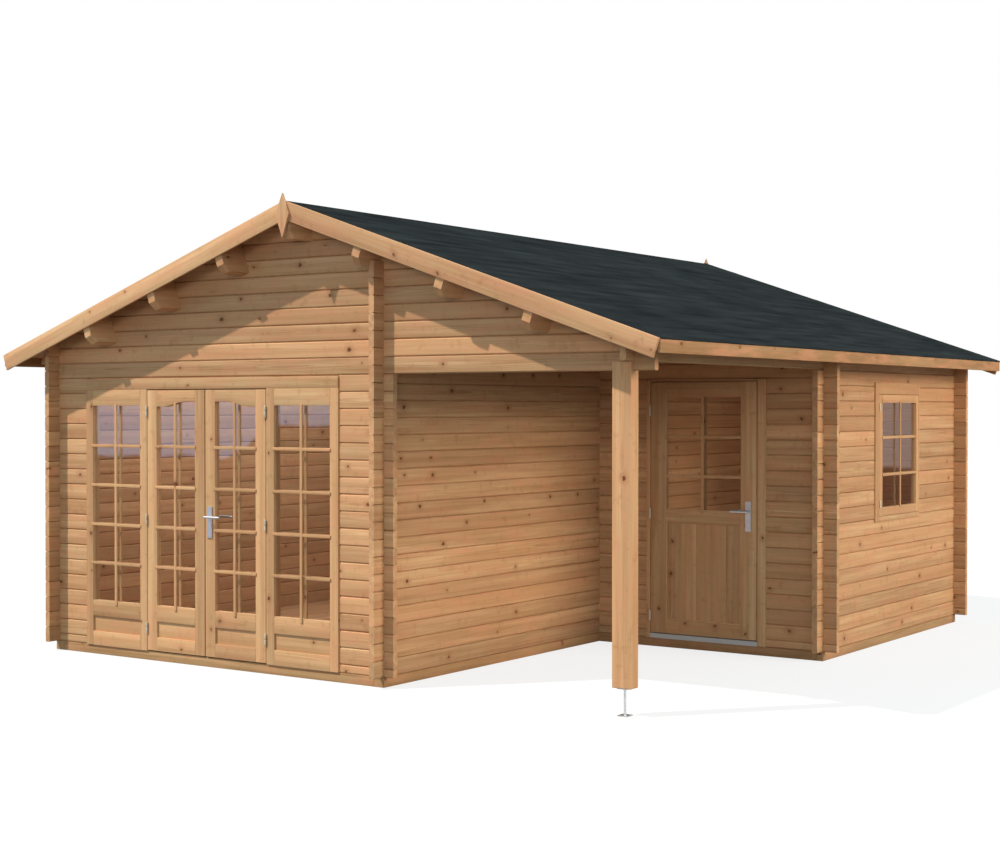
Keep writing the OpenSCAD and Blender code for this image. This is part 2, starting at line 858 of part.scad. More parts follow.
// Frame of the store door
module store_door_jambs() {
    z2 = store_head_z;
    color(wood) {
        difference() {
            block([store_frame_x, store_face, sill_h],
                [store_leaf_x - door_gap, store_face + frame_deep, z2]);
            block([store_frame_x - over, store_y, sill_h - over],
                [store_frame_x + frame_grip, store_y + log_t, z2 + over]);
        }
        difference() {
            block([store_leaf_x2 + door_gap, store_face, sill_h],
                [store_frame_x2, store_face + frame_deep, z2]);
            block([store_frame_x2 - frame_grip, store_y, sill_h - over],
                [store_frame_x2 + over, store_y + log_t, z2 + over]);
        }
    }
}
module store_door_head() {
    color(wood) difference() {
        block([store_frame_x, store_face, store_head_z],
            [store_frame_x2, store_face + frame_deep, frame_top]);
        for (x = [store_frame_x - over, store_frame_x2 - frame_grip])
            block([x, store_y, store_head_z - over],
                [x + frame_grip + over, store_y + log_t, frame_top + over]);
    }
}
module store_threshold() {
    color(zinc) block([store_leaf_x - door_gap, store_face, sill_h],
        [store_leaf_x2 + door_gap, store_face + frame_deep, sill_h + store_threshold_h]);
}

// Store door: glazed above, boarded below
module store_door() {
    color(wood) difference() {
        block([store_leaf_x, store_face, store_leaf_z],
            [store_leaf_x2, store_face + leaf_t, store_leaf_top]);
        translate([0, store_face, 0]) {
            glass_hole() {
                pane(store_glass_x, store_glass_w, store_glass_z, store_glass_top);
                pane(store_glass_x, store_glass_w, store_glass_z, store_glass_top, rebate);
            }
            sunk_panel(store_glass_x, store_glass_w, store_panel_z, store_panel_h);
        }
    }
}
module store_door_glass() {
    color(glass_blue) translate([0, store_face + leaf_t / 2, 0]) rotate([90, 0, 0])
        translate([0, 0, -glass_t]) linear_extrude(glass_t)
            pane(store_glass_x, store_glass_w, store_glass_z, store_glass_top, rebate);
}
module store_door_hinges() {
    color(zinc) hinge_set(store_axis_x, store_axis_y, 1, 1);
}
module store_door_handle() {
    handle((store_glass_x + store_glass_w + store_leaf_x2) / 2, store_face, -1);
}

// Fixed halves of all the hinges
module frame_hinges() {
    color(zinc) {
        hinge_set(left_axis_x, front_axis_y, -1, -1);
        hinge_set(right_axis_x, front_axis_y, -1, 1);
        hinge_set(store_axis_x, store_axis_y, -1, -1);
    }
}

// Window of the store: frame and closed sash, gripping the cut logs
module window_frame() {
    x1 = window_face - frame_deep;
    color(wood) difference() {
        union() {
            block([x1, window_y + frame_grip, window_open_z],
                [window_face, window_y2 - frame_grip, window_open_z2]);
            for (x = [x1, right_x])
                block([x, window_y, window_z], [x + frame_proud, window_y2, window_z2]);
        }
        along_x(x1 - over, window_face + over)
            pane(window_glass_y, window_glass_w, window_glass_z, window_glass_top);
        along_x(x1 - over, window_face - leaf_t / 2)
            pane(window_glass_y, window_glass_w, window_glass_z, window_glass_top, rebate);
    }
}
module window_glass() {
    x = window_face - leaf_t / 2;
    color(glass_blue) along_x(x - glass_t, x)
        pane(window_glass_y, window_glass_w, window_glass_z, window_glass_top, rebate);
}

main_foundation();
store_foundation();
main_floor();
store_floor();
left_wall();
back_wall();
dividing_wall();
front_wall_left();
front_wall_right();
front_gable();
store_wall_left();
store_wall_right();
store_wall_head();
right_wall_front();
right_wall_rear();
right_wall_base();
right_wall_head();
right_eave_beam();
ridge_beam();
purlins();
left_roof_deck();
right_roof_deck();
left_roof_felt();
right_roof_felt();
left_barge_boards();
right_barge_boards();
eave_fascias();
finials();
porch_post();
post_foot();
front_door_head();
front_threshold();
left_side_light();
right_side_light();
side_light_glass();
left_leaf();
left_leaf_glass();
left_leaf_hinges();
right_leaf();
right_leaf_glass();
right_leaf_hinges();
right_leaf_handle();
store_door_jambs();
store_door_head();
store_threshold();
store_door();
store_door_glass();
store_door_hinges();
store_door_handle();
frame_hinges();
window_frame();
window_glass();
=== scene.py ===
"""Log cabin with a glazed double door, an open porch and a store room, in planed pine over its CAD frame.

Metres, in the frame's own axes: X to the right along the front, Y to the back, Z up.
"""

import json
import math

import bmesh
import bpy
import numpy as np
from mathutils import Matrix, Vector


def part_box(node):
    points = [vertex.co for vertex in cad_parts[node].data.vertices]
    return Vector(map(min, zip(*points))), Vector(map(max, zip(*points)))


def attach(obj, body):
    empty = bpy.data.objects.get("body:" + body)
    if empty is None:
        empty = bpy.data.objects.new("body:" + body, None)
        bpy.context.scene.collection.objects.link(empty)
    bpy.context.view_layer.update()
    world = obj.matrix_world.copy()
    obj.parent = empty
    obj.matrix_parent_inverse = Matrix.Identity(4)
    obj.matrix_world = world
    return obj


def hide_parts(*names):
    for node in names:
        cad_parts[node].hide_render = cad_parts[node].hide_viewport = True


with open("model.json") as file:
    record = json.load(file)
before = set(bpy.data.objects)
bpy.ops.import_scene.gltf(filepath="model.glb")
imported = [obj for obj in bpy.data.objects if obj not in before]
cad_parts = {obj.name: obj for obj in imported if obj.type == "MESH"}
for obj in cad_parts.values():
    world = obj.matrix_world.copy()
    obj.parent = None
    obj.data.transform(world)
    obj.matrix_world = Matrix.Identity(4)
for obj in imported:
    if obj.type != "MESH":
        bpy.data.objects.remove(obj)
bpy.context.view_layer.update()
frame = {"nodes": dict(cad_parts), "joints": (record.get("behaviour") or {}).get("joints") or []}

# Foundation
# Pine joists laid flat on the ground: a ring under the walls of each room, and floor joists between its long
# sides. Each is one sawn length, butted against the next and nailed. The store's ring leans on the main one.
SILL_WIDE, JOIST_WIDE, JOIST_PITCH = 0.090, 0.060, 0.620
SHARP_TURN = math.radians(32)
growth = np.random.default_rng(41)


def shade(red, green, blue):
    """Colour from 0 to 255 as a shader takes it: the screen's curve is undone on each part."""
    share = np.array([red, green, blue]) / 255
    linear = np.where(share > 0.04045, ((share + 0.055) / 1.055) ** 2.4, share / 12.92)
    return (*linear, 1.0)


class Figure:
    """A number inside a material, with which sums are written as with a plain number."""

    def __init__(self, socket):
        self.socket = socket

    def of(self, operation, *others):
        """The result of one of the shader's own operations on this number and the others."""
        tree = self.socket.id_data
        node = tree.nodes.new("ShaderNodeMath")
        node.operation = operation
        for place, value in zip(node.inputs, (self, *others)):
            if isinstance(value, Figure):
                tree.links.new(value.socket, place)
            else:
                place.default_value = value
        return Figure(node.outputs[0])

    def __add__(self, other):
        return self.of("ADD", other)

    def __sub__(self, other):
        return self.of("SUBTRACT", other)

    def __mul__(self, other):
        return self.of("MULTIPLY", other)

    def __truediv__(self, other):
        return self.of("DIVIDE", other)

    def within(self):
        """The number itself, held from 0 to 1."""
        return self.of("MAXIMUM", 0.0).of("MINIMUM", 1.0)

    def between(self, low, high):
        """0 where the number is low, 1 where it is high, and a smooth step between them."""
        tree = self.socket.id_data
        node = tree.nodes.new("ShaderNodeMapRange")
        node.interpolation_type = "SMOOTHSTEP"
        tree.links.new(self.socket, node.inputs["Value"])
        node.inputs["From Min"].default_value = low
        node.inputs["From Max"].default_value = high
        return Figure(node.outputs[0])


def empty_finish(name):
    """Bare new material, and a call that adds a node, sets its options and fills or links its inputs."""
    finish = bpy.data.materials.new(name)
    finish.use_nodes = True
    tree = finish.node_tree
    tree.nodes.clear()

    def put(kind, inputs=None, **options):
        node = tree.nodes.new("ShaderNode" + kind)
        for option, value in options.items():
            setattr(node, option, value)
        for place, value in (inputs or {}).items():
            value = value.socket if isinstance(value, Figure) else value
            if isinstance(value, bpy.types.NodeSocket):
                tree.links.new(value, node.inputs[place])
            else:
                node.inputs[place].default_value = value
        return node.outputs

    return finish, put


def blend(put, share, first, second, way="MIX"):
    """Colour that goes from first to second as share goes from 0 to 1."""
    return put("Mix", {0: share, 6: first, 7: second}, data_type="RGBA", blend_type=way)[2]


def pine(name, pale, deep, warm, knots=0.48, blotch=0.38):
    """Planed pine as a solid pattern in each timber's own axes. Growth rings are circles round the pith, bent
    by noise. A knot is a bar that leaves the pith square to it, at most one to each knot_step along the
    grain, and swells the rings round it. Fibre, streak, cloud and blush are noise drawn out along the grain,
    curl is noise of even size, and every timber has a tone and a warmth of its own."""
    ring_gap, ring_vary, ring_bend = 0.0042, 0.002, 0.03
    knot_step, knot_small, knot_grow, knot_lean = 0.42, 0.0048, 0.0085, 0.9
    knot_heart, knot_rim, knot_halo = shade(112, 66, 38), shade(72, 41, 23), shade(146, 92, 56)
    blush_red, curl_brown = shade(206, 142, 108), shade(156, 108, 66)
    finish, put = empty_finish(name)
    grain = put("Attribute", attribute_name="grain")["Vector"]
    own = put("SeparateColor", {0: put("Attribute", attribute_name="timber")["Color"]})
    tone, warmth, seed = (Figure(socket) for socket in own)
    along, across, through = (Figure(socket) for socket in put("SeparateXYZ", {0: grain}))

    def noise(stretch, detail, rough=0.5):
        """Noise on the grain's axes, each scaled by its own factor."""
        place = put("VectorMath", {0: grain, 1: stretch}, operation="MULTIPLY")[0]
        return put("TexNoise", {"Vector": place, "Scale": 1.0, "Detail": detail, "Roughness": rough})

    cell = along / knot_step
    whole = cell.of("FLOOR")
    lot = put("CombineXYZ", {0: whole, 1: seed * 100})[0]
    chance = put("TexWhiteNoise", {"Vector": lot}, noise_dimensions="2D")[1]
    spot, turn, size = (Figure(socket) for socket in put("SeparateColor", {0: chance}))
    present = (size * 13.7).of("FRACT").of("LESS_THAN", knots)
    offset = (cell - whole - (spot * 0.5 + 0.25)) * knot_step
    turn = (turn - 0.5) * knot_lean + (spot * 7.3).of("FRACT").of("LESS_THAN", 0.5) * math.pi
    outward = across * turn.of("COSINE") + through * turn.of("SINE")
    aside = through * turn.of("COSINE") - across * turn.of("SINE")
    radius = size * knot_grow + knot_small
    rough_edge = (Figure(noise((60, 60, 60), 2)[0]) - 0.5) * 1.5
    near = (offset * offset * 0.6 + aside * aside).of("SQRT") / radius + rough_edge
    present = present * outward.of("GREATER_THAN", 0.0)
    knot = (near * -1).between(-1.05, -0.8) * present
    halo = (near * near * -0.16).of("EXPONENT") * present

    sway = put("SeparateColor", {0: noise((0.8, 6, 6), 2)[1]})
    bent_across = across + (Figure(sway[0]) - 0.5) * ring_bend
    bent_through = through + (Figure(sway[1]) - 0.5) * ring_bend
    distance = (bent_across * bent_across + bent_through * bent_through).of("SQRT") + halo * radius * 0.9
    part = (distance / (seed * ring_vary + ring_gap)).of("FRACT")
    late = part.between(0.25, 0.9) - part.between(0.92, 1.0)
    fibre = Figure(noise((4, 260, 260), 3)[0])
    streak = Figure(noise((0.7, 26, 26), 3, 0.6)[0])
    cloud = Figure(noise((1.1, 7, 7), 2)[0])
    blush = Figure(noise((3.2, 16, 16), 2)[0])
    curl = Figure(noise((15, 11, 11), 3, 0.65)[0])

    depth = late * 0.34 + (streak - 0.5) * 1.9 + (fibre - 0.5) * 0.5 + (cloud - 0.5) * 0.7 + 0.30
    wood = blend(put, depth.within(), shade(*pale), shade(*deep))
    wood = blend(put, (warmth * 0.55 + (cloud - 0.5) * 0.6).of("MAXIMUM", 0.0), wood, shade(*warm))
    wood = blend(put, blush.between(0.42, 0.70) * blotch, wood, blush_red)
    wood = blend(put, curl.between(0.54, 0.76) * 0.35, wood, curl_brown)
    wood = blend(put, halo * 0.55, wood, knot_halo)
    wood = blend(put, knot, wood, blend(put, near.between(0.2, 1.0), knot_heart, knot_rim))
    lightness = tone * 0.26 + 0.87
    grey = put("CombineColor", {0: lightness, 1: lightness, 2: lightness})[0]
    wood = blend(put, 1.0, wood, grey, "MULTIPLY")
    height = late * -0.5 + fibre * 0.6 + knot * 0.8
    bump = put("Bump", {"Height": height, "Strength": 0.35, "Distance": 0.0008})[0]
    surface = put("BsdfPrincipled", {
        "Base Color": wood, "Roughness": 0.62, "Specular IOR Level": 0.12, "Normal": bump,
    })
    put("OutputMaterial", {"Surface": surface[0]})
    return finish


def bars(low, high, along, edge=0.003):
    """Rounded bars between opposite corners. Across a bar the outline is a rectangle whose corners are
    quarter circles of radius edge; at both ends it shrinks by most of that radius, which rounds them too."""
    low, high = (np.atleast_2d(np.array(corner, float)) for corner in (low, high))
    sides = [axis for axis in range(3) if axis != along]
    end_ease = 0.7 * edge
    corner = np.repeat([[1, 1], [-1, 1], [-1, -1], [1, -1]], 3, axis=0)
    turn = np.radians(np.arange(0, 360, 90)[:, None] + np.array([0, 45, 90])).ravel()
    arc = np.stack([np.cos(turn), np.sin(turn)], -1)
    shrink = end_ease * np.array([1, 0, 0, 1])[None, :, None]
    rings = np.empty((len(low), 4, len(turn), 3))
    for way, axis in enumerate(sides):
        middle, half = (((high + low) / 2)[:, axis], ((high - low) / 2)[:, axis])
        flat = middle[:, None, None] + corner[:, way] * (half[:, None, None] - edge)
        rings[..., axis] = flat + arc[:, way] * (edge - shrink)
    start, end = low[:, along], high[:, along]
    rings[..., along] = np.stack([start, start + end_ease, end - end_ease, end], -1)[..., None]
    return rings


def timber(name, parts, finish, body="cabin", nodes=(), pith=0.06, move=None):
    """One object of closed bars. parts lists pairs of rings and the axis that their grain follows; rings
    holds bars, stations, outline points and coordinates. Stations are joined by four-sided faces and the two
    ends are closed. The grain attribute is each point's place from the middle of its own bar, along the
    grain, through the thin side and across, moved by a random pith; the timber attribute is three random
    shares for tone, warmth and seed. move takes the points to their place."""
    points, faces, grains, owns, count = [], [], [], [], 0
    for rings, along in parts:
        number, stations, outline, _ = rings.shape
        index = count + np.arange(number * stations * outline).reshape(number, stations, outline)
        here, there = index[:, :-1], index[:, 1:]
        quads = np.stack([here, np.roll(here, -1, 2), np.roll(there, -1, 2), there], -1).reshape(-1, 4)
        faces += quads.tolist() + index[:, 0, ::-1].tolist() + index[:, -1].tolist()
        count += index.size
        local = rings - rings.mean((1, 2), keepdims=True)
        spread = np.ptp(rings, axis=(1, 2)).max(0)
        sides = [axis for axis in range(3) if axis != along]
        axes = [along] + sorted(sides, key=lambda axis: (round(spread[axis], 3), -axis))
        around = growth.uniform(0, 2 * math.pi, number)
        away = pith * growth.uniform(0.3, 1.0, number)
        start = np.stack([growth.uniform(0, 90, number), away * np.cos(around), away * np.sin(around)], -1)
        grains.append((local[..., axes] + start[:, None, None]).reshape(-1, 3))
        shares = np.concatenate([growth.uniform(0, 1, (number, 3)), np.ones((number, 1))], 1)
        owns.append(np.broadcast_to(shares[:, None, None], rings.shape[:3] + (4,)).reshape(-1, 4))
        points.append(rings.reshape(-1, 3))
    points = np.concatenate(points)
    mesh = bpy.data.meshes.new(name)
    mesh.from_pydata((move(points) if move else points).tolist(), [], faces)
    outwards = bmesh.new()
    outwards.from_mesh(mesh)
    bmesh.ops.recalc_face_normals(outwards, faces=outwards.faces)
    outwards.to_mesh(mesh)
    outwards.free()
    mesh.polygons.foreach_set("use_smooth", np.ones(len(mesh.polygons), bool))
    mesh.set_sharp_from_angle(angle=SHARP_TURN)
    grain = mesh.attributes.new("grain", "FLOAT_VECTOR", "POINT")
    grain.data.foreach_set("vector", np.concatenate(grains).ravel())
    own = mesh.attributes.new("timber", "FLOAT_COLOR", "POINT")
    own.data.foreach_set("color", np.concatenate(owns).ravel())
    mesh.materials.append(finish)
    piece = bpy.data.objects.new(name, mesh)
    bpy.context.scene.collection.objects.link(piece)
    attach(piece, body)
    if nodes:
        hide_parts(*nodes)


log_pine = pine("log_pine", (209, 168, 126), (162, 118, 79), (198, 146, 104))
sill_pine = pine("sill_pine", (186, 148, 106), (136, 102, 68), (170, 126, 86))
for room, west in (("main", SILL_WIDE), ("store", 0.0)):
    low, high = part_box(room + "_foundation")
    inner_x, outer_x = low.x + west, high.x - SILL_WIDE
    inner_y, outer_y = low.y + SILL_WIDE, high.y - SILL_WIDE
    count = math.ceil((outer_y - inner_y) / JOIST_PITCH) - 1
    middles = inner_y + np.arange(1, count + 1) * (outer_y - inner_y) / (count + 1)
    spans = [(low.x, inner_x), (outer_x, high.x)] if west else [(outer_x, high.x)]
    sides = bars([(a, low.y, 0) for a, _ in spans], [(b, high.y, high.z) for _, b in spans], 1)
    spans = [(low.y, inner_y), (outer_y, high.y)]
    ends = bars([(inner_x, a, 0) for a, _ in spans], [(outer_x, b, high.z) for _, b in spans], 0)
    floor_joists = bars(
        [(inner_x, middle - JOIST_WIDE / 2, 0) for middle in middles],
        [(outer_x, middle + JOIST_WIDE / 2, high.z) for middle in middles], 0,
    )
    parts = [(sides, 1), (ends, 0), (floor_joists, 0)]
    timber(room + "_joists", parts, sill_pine, nodes=[room + "_foundation"])

# Floors
# Planed pine boards a hand's width wide, tongued and nailed across the joists. The main room's boards are cut
# short round the log ends that the store wall leaves in that room.
BOARD_WIDE, BOARD_EDGE, FLOOR_GAP = 0.098, 0.0015, 0.015
stub_low, stub_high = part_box("store_wall_left")
for room in ("main_floor", "store_floor"):
    low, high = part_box(room)
    seams = np.linspace(low.x, high.x, round((high.x - low.x) / BOARD_WIDE) + 1)
    spans = [(a, b, low.y, high.y) for a, b in zip(seams[:-1], seams[1:])]
    if room == "main_floor":
        clear = [span for span in spans if span[1] <= stub_low.x - FLOOR_GAP]
        cut = spans[len(clear):]
        before = [(a, b, low.y, stub_low.y - FLOOR_GAP) for a, b, _, _ in cut]
        behind = [(a, b, stub_high.y + FLOOR_GAP, high.y) for a, b, _, _ in cut]
        spans = clear + before + behind
    near = [(a, front, low.z) for a, _, front, _ in spans]
    far = [(b, rear, high.z) for _, b, _, rear in spans]
    timber(room + "_boards", [(bars(near, far, 1, BOARD_EDGE), 1)], log_pine, nodes=[room])

# Log walls
# Planed pine logs stacked on edge. Their bevelled edges make a V at each joint, and a tongue shuts it. They
# cross at the corners, front logs half a log higher than side logs, and stand out past each crossing.
LOG_HIGH, LOG_THICK, LOG_PITH, LOG_MOST = 0.114, 0.044, 0.03, 40
LOG_BEVEL, LOG_SLIT, TONGUE_DEEP, LOG_EASE = 0.0075, 0.0012, 0.008, 0.0008
LOG_ROUNDING = [(0.0014, -0.0014), (0.0003, 0.0004), (0.0, 0.0022)]
ROOF_PITCH = math.radians(19)
PEAK_SHORT, TOP_SHORT = 0.003, 0.0005
sill_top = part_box("main_foundation")[1].z
wall_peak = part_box("ridge_beam")[1].z


def wall_top(x):
    """Height of the wall tops and purlins under the roof boards, falling evenly from the ridge."""
    return wall_peak - np.abs(x) * math.tan(ROOF_PITCH)


def log_stack(low, high, along, first, lowest_start=None):
    """Rings of stacked logs in a box. Joints lie at first and every LOG_HIGH above it. Round a log the
    outline goes from a narrow slit at the joint over the bevel, rounded where it ends, to the flat face, the
    same at all four edges; ends are chamfered. What would stand over the roof line is laid back onto it, at
    the ends of front logs and on top of side logs. The lowest log may start at a place of its own."""
    joints = first + LOG_HIGH * np.arange(LOG_MOST)
    joints = joints[(joints > low[2] + LOG_BEVEL) & (joints < high[2] - LOG_BEVEL)]
    edges = np.array([low[2], *joints, high[2]])
    bottom, top = edges[:-1, None], edges[1:, None]
    tongue = LOG_BEVEL + TONGUE_DEEP
    rounding = [(deep, LOG_BEVEL + up) for deep, up in LOG_ROUNDING]
    corner = np.array([(tongue, 0.0), (tongue, LOG_SLIT), (LOG_BEVEL, LOG_SLIT)] + rounding)
    near = np.concatenate([corner[:, 0], corner[::-1, 0]])
    inset = np.concatenate([corner[:, 1], corner[::-1, 1]] * 2)
    upper = np.repeat([False, True, True, False], len(corner))
    level = np.where(upper, top - inset, bottom + inset)[:, None, :].repeat(4, 1)
    deepness = np.broadcast_to(np.concatenate([near, LOG_THICK - near]), level.shape).copy()
    for station in (0, 3):
        deepness[:, station] = np.clip(deepness[:, station], LOG_EASE, LOG_THICK - LOG_EASE)
        level[:, station] = np.clip(level[:, station], bottom + LOG_EASE, top - LOG_EASE)
    rings = np.empty(level.shape + (3,))
    rings[..., 1 - along] = low[1 - along] + deepness
    starts = np.full((len(bottom), 1, 1), low[along])
    if lowest_start is not None:
        starts[0] = lowest_start
    ends = high[along]
    if along == 0:
        level = np.minimum(level, wall_peak - PEAK_SHORT)
        reach = (wall_peak - level) / math.tan(ROOF_PITCH)
        starts, ends = np.maximum(starts, -reach), np.minimum(ends, reach)
    else:
        level = np.minimum(level, wall_top(rings[..., 0]) - TOP_SHORT)
    ease = np.array([0, 1, 1, 0])[None, :, None] * LOG_EASE
    at_start = np.array([True, True, False, False])[None, :, None]
    rings[..., along] = np.where(at_start, starts + ease, ends - ease)
    rings[..., 2] = level
    return rings


for wall in ("left_wall", "dividing_wall", "right_eave_beam"):
    stack = log_stack(*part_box(wall), 1, sill_top)
    timber(wall + "_logs", [(stack, 1)], log_pine, nodes=[wall], pith=LOG_PITH)

# Right wall of the store
# The same planed logs, whole under and over the window, and short before and behind it. The window's frame
# grips the cut ends of the short ones.
FRAME_GRIP = 0.018
near_low, near_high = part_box("right_wall_front")
far_low, far_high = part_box("right_wall_rear")
under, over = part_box("right_wall_base")[1].z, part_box("right_wall_head")[0].z
spans = [
    (near_low.y, far_high.y, near_low.z, under),
    (near_low.y, near_high.y - FRAME_GRIP, under, over),
    (far_low.y + FRAME_GRIP, far_high.y, under, over),
    (near_low.y, far_high.y, over, far_high.z),
]
stacks = [
    (log_stack((near_low.x, front, bottom), (far_high.x, rear, top), 1, sill_top), 1)
    for front, rear, bottom, top in spans
]
replaced = ["right_wall_front", "right_wall_rear", "right_wall_base", "right_wall_head"]
timber("right_wall_logs", stacks, log_pine, nodes=replaced, pith=LOG_PITH)

# Front, store and back walls
# The same logs laid across the cabin, half a log higher than the side logs that they are notched over. Those
# beside a doorway are gripped by its frame. Gable logs are cut to the roof line, and the lowest one of the
# front gable stands out at the left as a corbel.
CORBEL_OUT = 0.105
corbel_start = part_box("left_wall")[0].x - CORBEL_OUT
cross_walls = (
    "front_wall_left", "front_wall_right", "front_gable",
    "store_wall_left", "store_wall_right", "store_wall_head", "back_wall",
)
for wall in cross_walls:
    low, high = (np.array(corner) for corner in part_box(wall))
    low[0] += FRAME_GRIP * (wall in ("front_wall_right", "store_wall_right"))
    high[0] -= FRAME_GRIP * (wall in ("front_wall_left", "store_wall_left"))
    lowest_start = corbel_start if wall == "front_gable" else None
    stack = log_stack(low, high, 0, sill_top + LOG_HIGH / 2, lowest_start)
    timber(wall + "_logs", [(stack, 0)], log_pine, nodes=[wall], pith=LOG_PITH)

# Ridge beam and purlins
# Pine beams that run through both gables and carry the roof boards. The ridge beam stands upright with a
# peaked top; the purlins lie square to the slope. The underside of each end is cut off at an angle.
PURLIN_WIDE, PURLIN_DEEP, PURLIN_CUT, PURLIN_PAST = 0.067, 0.215, 0.048, 0.022
PURLINS_A_SIDE, RIDGE_SEAT = 3, 0.0003
roof_fall = np.array([math.cos(ROOF_PITCH), -math.sin(ROOF_PITCH)])
roof_up = np.array([math.sin(ROOF_PITCH), math.cos(ROOF_PITCH)])


def on_slope(peak):
    """Move from flat roof sizes onto the slopes: the first size runs down from the peak, to the right where
    it is over zero and to the left where it is under, and the third stands square to the roof."""

    def move(points):
        flat = np.abs(points[:, :1]) * roof_fall + points[:, 2:] * roof_up
        return np.stack([np.sign(points[:, 0]) * flat[:, 0], points[:, 1], peak + flat[:, 1]], -1)

    return move


def beams(low, high):
    """Bars along Y, as long behind the middle as before it, whose underside rises by PURLIN_CUT in the last
    stretch of that same length at each end."""
    rings = bars(low, high, 1)
    far = high[0][1]
    rings[..., 1] = np.array([-far, PURLIN_CUT - far, far - PURLIN_CUT, far])[None, :, None]
    middle = (np.array(low) + np.array(high))[:, 2, None, None] / 2
    rise = PURLIN_CUT * np.array([1, 0, 0, 1])[None, :, None]
    rings[..., 2] += (rings[..., 2] < middle) * rise
    return rings


ridge_low, ridge_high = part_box("ridge_beam")
ridge = beams([ridge_low], [ridge_high])
ridge[..., 2] = np.minimum(ridge[..., 2], wall_top(ridge[..., 0]) - RIDGE_SEAT)
timber("ridge_timber", [(ridge, 1)], log_pine, nodes=["ridge_beam"])

purlin_low, purlin_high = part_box("purlins")
divide_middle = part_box("dividing_wall")[0].x + LOG_THICK / 2
first_down = (divide_middle + PURLIN_PAST) / math.cos(ROOF_PITCH)
last_down = purlin_high.x / math.cos(ROOF_PITCH) - PURLIN_WIDE / 2
downs = np.linspace(first_down, last_down, PURLINS_A_SIDE)
downs = np.concatenate([-downs, downs])
purlins = beams(
    [(down - PURLIN_WIDE / 2, purlin_low.y, -PURLIN_DEEP) for down in downs],
    [(down + PURLIN_WIDE / 2, purlin_high.y, 0) for down in downs],
)
timber("purlin_timbers", [(purlins, 1)], log_pine, nodes=["purlins"], move=on_slope(wall_peak))

# Roof boards
# Tongued pine boards nailed on the purlins from the ridge down to the eaves, with eased edges that show as
# fine lines from below.
ROOF_SEAT, DECK_THICK, DECK_WIDE, DECK_EDGE = 0.0003, 0.018, 0.0875, 0.0035
RIDGE_SHORT, EAVE_SHORT, BOARD_PITH = 0.002, 0.004, 0.05
deck_low, deck_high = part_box("right_roof_deck")
deck_peak = wall_peak + ROOF_SEAT / math.cos(ROOF_PITCH)
deck_long = deck_high.x / math.cos(ROOF_PITCH)
seams = np.linspace(deck_low.y, deck_high.y, round((deck_high.y - deck_low.y) / DECK_WIDE) + 1)
for side, name in ((-1, "left_roof"), (1, "right_roof")):
    start, end = sorted((side * RIDGE_SHORT, side * (deck_long - EAVE_SHORT)))
    near, far = [(start, seam, 0) for seam in seams[:-1]], [(end, seam, DECK_THICK) for seam in seams[1:]]
    boards = bars(near, far, 0, DECK_EDGE)
    timber(name + "_boards", [(boards, 0)], log_pine, nodes=[name + "_deck"], pith=BOARD_PITH,
           move=on_slope(deck_peak))

# Roof felt
# Bitumen felt with dark slate grit, rolled out along the eaves in strips. Each strip laps over the one below,
# and the highest is folded over the ridge. At the back the felt is folded up over the barge boards.
FELT_THICK, FELT_STEP, FELT_WAVE = 0.0035, 0.0012, 0.0006
FELT_ROLL, FELT_CAP, FELT_LAP, FELT_RAMP, FELT_PEAK = 1.0, 0.42, 0.10, 0.05, 0.0005
FELT_FOLD, FELT_RISE = 0.03, 0.005
felt_low, felt_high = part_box("right_roof_felt")
felt_finish, put = empty_finish("slate_felt")
place = put("TexCoord")["Object"]
drawn = put("VectorMath", {0: place, 1: (13, 1.3, 13)}, operation="MULTIPLY")[0]
wash = Figure(put("TexNoise", {"Vector": drawn, "Scale": 1.0, "Detail": 4.0, "Roughness": 0.6})[0])
grit = Figure(put("TexNoise", {"Vector": place, "Scale": 420.0, "Detail": 2.0})[0])
patch = Figure(put("TexNoise", {"Vector": place, "Scale": 2.2, "Detail": 3.0})[0])
mottle = (wash - 0.5) * 1.3 + (grit - 0.5) * 0.9 + (patch - 0.5) * 0.5 + 0.45
colour = blend(put, mottle.within(), shade(22, 26, 29), shade(52, 57, 59))
bump = put("Bump", {"Height": grit, "Strength": 0.5, "Distance": 0.0015})[0]
surface = put("BsdfPrincipled", {
    "Base Color": colour, "Roughness": 0.9, "Specular IOR Level": 0.0, "Normal": bump,
})
put("OutputMaterial", {0: surface[0]})


def felt_strips(spans, low, high, over, steps=40):
    """Strips along Y: across a strip the outline is a thin band from its upper to its lower edge, and its
    last stretch is lifted where it lies on the strip below. Slow waves of under a millimetre run through it,
    and its rear end is folded up and over, to cover the barge board behind it."""
    length = np.concatenate([np.linspace(low, high - FELT_FOLD, steps - 2), [high, over]])
    fold = np.array([0] * (steps - 2) + [FELT_RISE] * 2)
    rings = np.empty((len(spans), steps, 10, 3))
    rings[..., 1] = length[:, None]
    for ring, (upper, lower) in zip(rings, spans):
        laps = lower < spans[-1][1]
        down = np.array([upper, (upper + lower) / 2, lower - FELT_LAP - FELT_RAMP, lower - FELT_LAP, lower])
        lift = np.array([0, 0, 0, 1, 1]) * FELT_STEP * laps
        thick = np.array([FELT_THICK] * 4 + [FELT_STEP if laps else FELT_THICK])
        wave = FELT_WAVE * np.sin(9 * length + 7 * upper) * np.sin(3.1 * length + upper)
        ring[..., 0] = np.concatenate([down, down[::-1]])
        ring[..., 2] = np.concatenate([lift + thick, lift[::-1]]) + (np.abs(wave) + fold)[:, None]
    return rings


